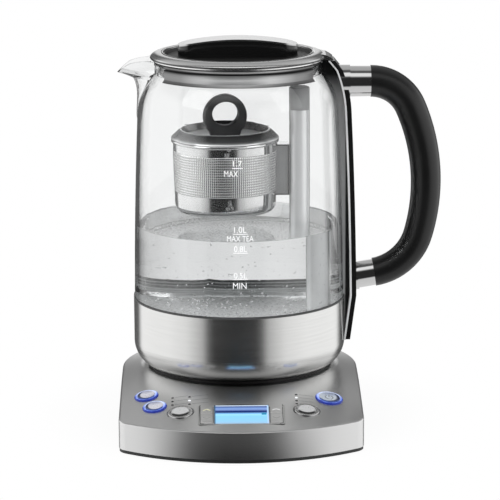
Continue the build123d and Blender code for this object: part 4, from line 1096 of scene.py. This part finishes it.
def cup_radius(z):
    """Outer radius of the cup's wall."""
    return cup_wide + (z - cup_foot) / (cup_rim - cup_foot)


def arc(middle_radius, middle_height, radius, start, stop, step):
    """Row of (radius, height) points round a middle, by degrees from straight down outwards."""
    turns = [radians(t) for t in range(start, stop, step)]
    return [(middle_radius + radius * sin(a), middle_height - radius * cos(a)) for a in turns]


foot_middle = cup_wide - foot_round, cup_foot + foot_round
foot_profile = [(0, cup_foot), *arc(*foot_middle, foot_round, 0, 91, 15)]
foot_profile += [(cup_radius(mesh_low), mesh_low), (cup_radius(mesh_low) - 0.5, mesh_low)]
foot_profile += [*arc(*foot_middle, foot_round - 0.8, 90, -1, -15), (0, cup_foot + 0.8)]
rim_profile = [(cup_radius(mesh_high), mesh_high), (36.05, cup_rim - 1.25)]
rim_profile += arc(36.2, cup_rim, 1.25, 10, 200, 20)
rim_profile += [(35.4, cup_rim + 1.0), (35.4, cup_rim - 1.0)]
rim_profile += [(cup_radius(mesh_high) - 0.6, mesh_high), (cup_radius(mesh_high), mesh_high)]
for name, profile in (("basket_foot", foot_profile), ("basket_collar", rim_profile)):
    piece(name, lathe(profile, 128, basket_axis), polished, "basket")

columns, rows = 150, 16
bar_up, bar_round = 0.58, 0.6  # the bars' share of one mesh's height and width
turns = [2 * pi * (i // 2 + i % 2 * bar_round) / columns for i in range(2 * columns)]
screen = bmesh.new()
grid = []
for j in range(2 * rows + 1):
    z = mesh_low + (mesh_high - mesh_low) * (j // 2 + j % 2 * bar_up) / rows
    radius = cup_radius(z)
    grid.append([corner(screen, basket_axis + radius * cos(a), radius * sin(a), z) for a in turns])
for j in range(2 * rows):
    for i in range(2 * columns):
        if i % 2 and j % 2:
            continue
        k = (i + 1) % (2 * columns)
        screen.faces.new((grid[j][i], grid[j][k], grid[j + 1][k], grid[j + 1][i]))

# the etched sheet is left matt on its inner side
etched = brushed("etched_steel", (0.86, 0.86, 0.86), 0.12, (200, 200, 200), 0.01, streak=0.02, cut=0.03)
tree = etched.node_tree
outward = reckon_vector(tree, "SUBTRACT", own_place(tree), (basket_axis * MM, 0, 0))
facing = reckon_vector(tree, "DOT_PRODUCT", outward, face_normal(tree))
inner_side = reckon(tree, "LESS_THAN", facing, 0.0)
plain = tree.nodes["Principled BSDF"].inputs["Base Color"].links[0].from_socket
paint(
    tree,
    Base_Color=mixed(tree, inner_side, plain, (0.6, 0.6, 0.6)),
    Metallic=reckon(tree, "MULTIPLY_ADD", inner_side, -0.9, 1.0),
)
screen_mesh = mesh_of(screen, "screen", False)
basket_screen = piece("basket_screen", screen_mesh, etched, "basket")
sheet = basket_screen.modifiers.new("sheet", "SOLIDIFY")
sheet.thickness = 0.4 * MM
sheet.offset = -1.0
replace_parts(basket_screen, "basket_cup")

# ---------------------------------------------------------------------------------------------
# Basket lid: pressed steel lid with a deep middle and a rolled edge, and a black moulded ring to
# lift it by, that stands on it a little turned from the front.
# ---------------------------------------------------------------------------------------------

lid_profile = [
    (0, 197.9), (30.0, 197.9), (33.9, 193.9), (35.3, 193.9), (35.3, 196.9), (37.3, 196.9), (37.5, 197.3),
    (37.1, 198.0), (34.4, 200.7), (31.5, 203.3), (31.0, 203.55), (30.5, 203.55), (30.0, 203.3),
    (28.8, 198.8), (0, 198.8),
]
press_inner, press_outer = 26.0, 37.6
press_steel, tree = material("press_lid_steel")
turn, away = polar(tree, (basket_axis * MM, 0, 0))[::2]
out = along(tree, away, press_inner * MM, press_outer * MM)
# painted light and shade: a bright floor and light and dark rings by radius, and the left part of the lid
# painted paler
painted_press_light = (
    (0.0, 1.0), (0.2, 0.9), (0.24, 0.04), (0.38, 0.05), (0.41, 0.9), (0.46, 0.8), (0.5, 0.07),
    (0.82, 0.14), (0.92, 0.4), (0.96, 0.9),
)
leftwards = reckon(tree, "MULTIPLY", reckon(tree, "COSINE", turn), -1.0)
painted_left_light = ramp(tree, leftwards, ((0.35, 0.0), (0.95, 0.35)))
paint(
    tree,
    Base_Color=mixed(tree, painted_left_light, ramp(tree, out, painted_press_light), (0.7, 0.7, 0.7)),
    Metallic=ramp(tree, out, ((0.22, 0.05), (0.24, 0.6))),
    Roughness=0.16,
)
press_lid = lathe(lid_profile, 160, basket_axis)
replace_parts(piece("basket_press_lid", press_lid, press_steel, "basket_lid"), "basket_lid")

ring_turn, ring_half, ring_edge = radians(12.0), 3.2, 0.7
ring_foot, neck_half = 198.9, 10.5
# half width, half height and middle height of the ring's outline and of its hole
ring_outline, ring_hole = (15.2, 14.5, 211.5), (9.4, 7.7, 213.6)
count = 72
bearings = [2 * pi * (i + 0.5) / count for i in range(count)]
hoop = bmesh.new()


def hoop_row(oval, depth, inset):
    """One edge of the ring at a depth, set in from its oval; the outline ends in a straight neck."""
    half_width, half_height, middle = oval
    grown = inset if oval is ring_hole else -inset
    row = []
    for a in bearings:
        across, up = (half_width + grown) * cos(a), middle + (half_height + grown) * sin(a)
        if oval is ring_outline and sin(a) < 0 and abs(across) <= neck_half - inset:
            up = ring_foot
        x = basket_axis + across * cos(ring_turn) + depth * sin(ring_turn)
        row.append(corner(hoop, x, across * sin(ring_turn) - depth * cos(ring_turn), up))
    return row


layers = [
    [hoop_row(oval, depth, inset) for oval in (ring_outline, ring_hole)]
    for depth, inset in (
        (-ring_half, ring_edge),
        (ring_edge - ring_half, 0.0),
        (ring_half - ring_edge, 0.0),
        (ring_half, ring_edge),
    )
]
for i in range(count):
    j = (i + 1) % count
    for near, far in zip(layers, layers[1:]):
        for side in (0, 1):
            hoop.faces.new((near[side][i], near[side][j], far[side][j], far[side][i]))
    for cap in (layers[0], layers[-1]):
        hoop.faces.new((cap[0][i], cap[0][j], cap[1][j], cap[1][i]))
ring_black = moulded("ring_black", (0.036, 0.036, 0.037), 0.4)
lift_hoop = piece("lift_hoop", mesh_of(hoop, "hoop"), ring_black, "basket_lid")
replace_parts(lift_hoop, "finger_ring")
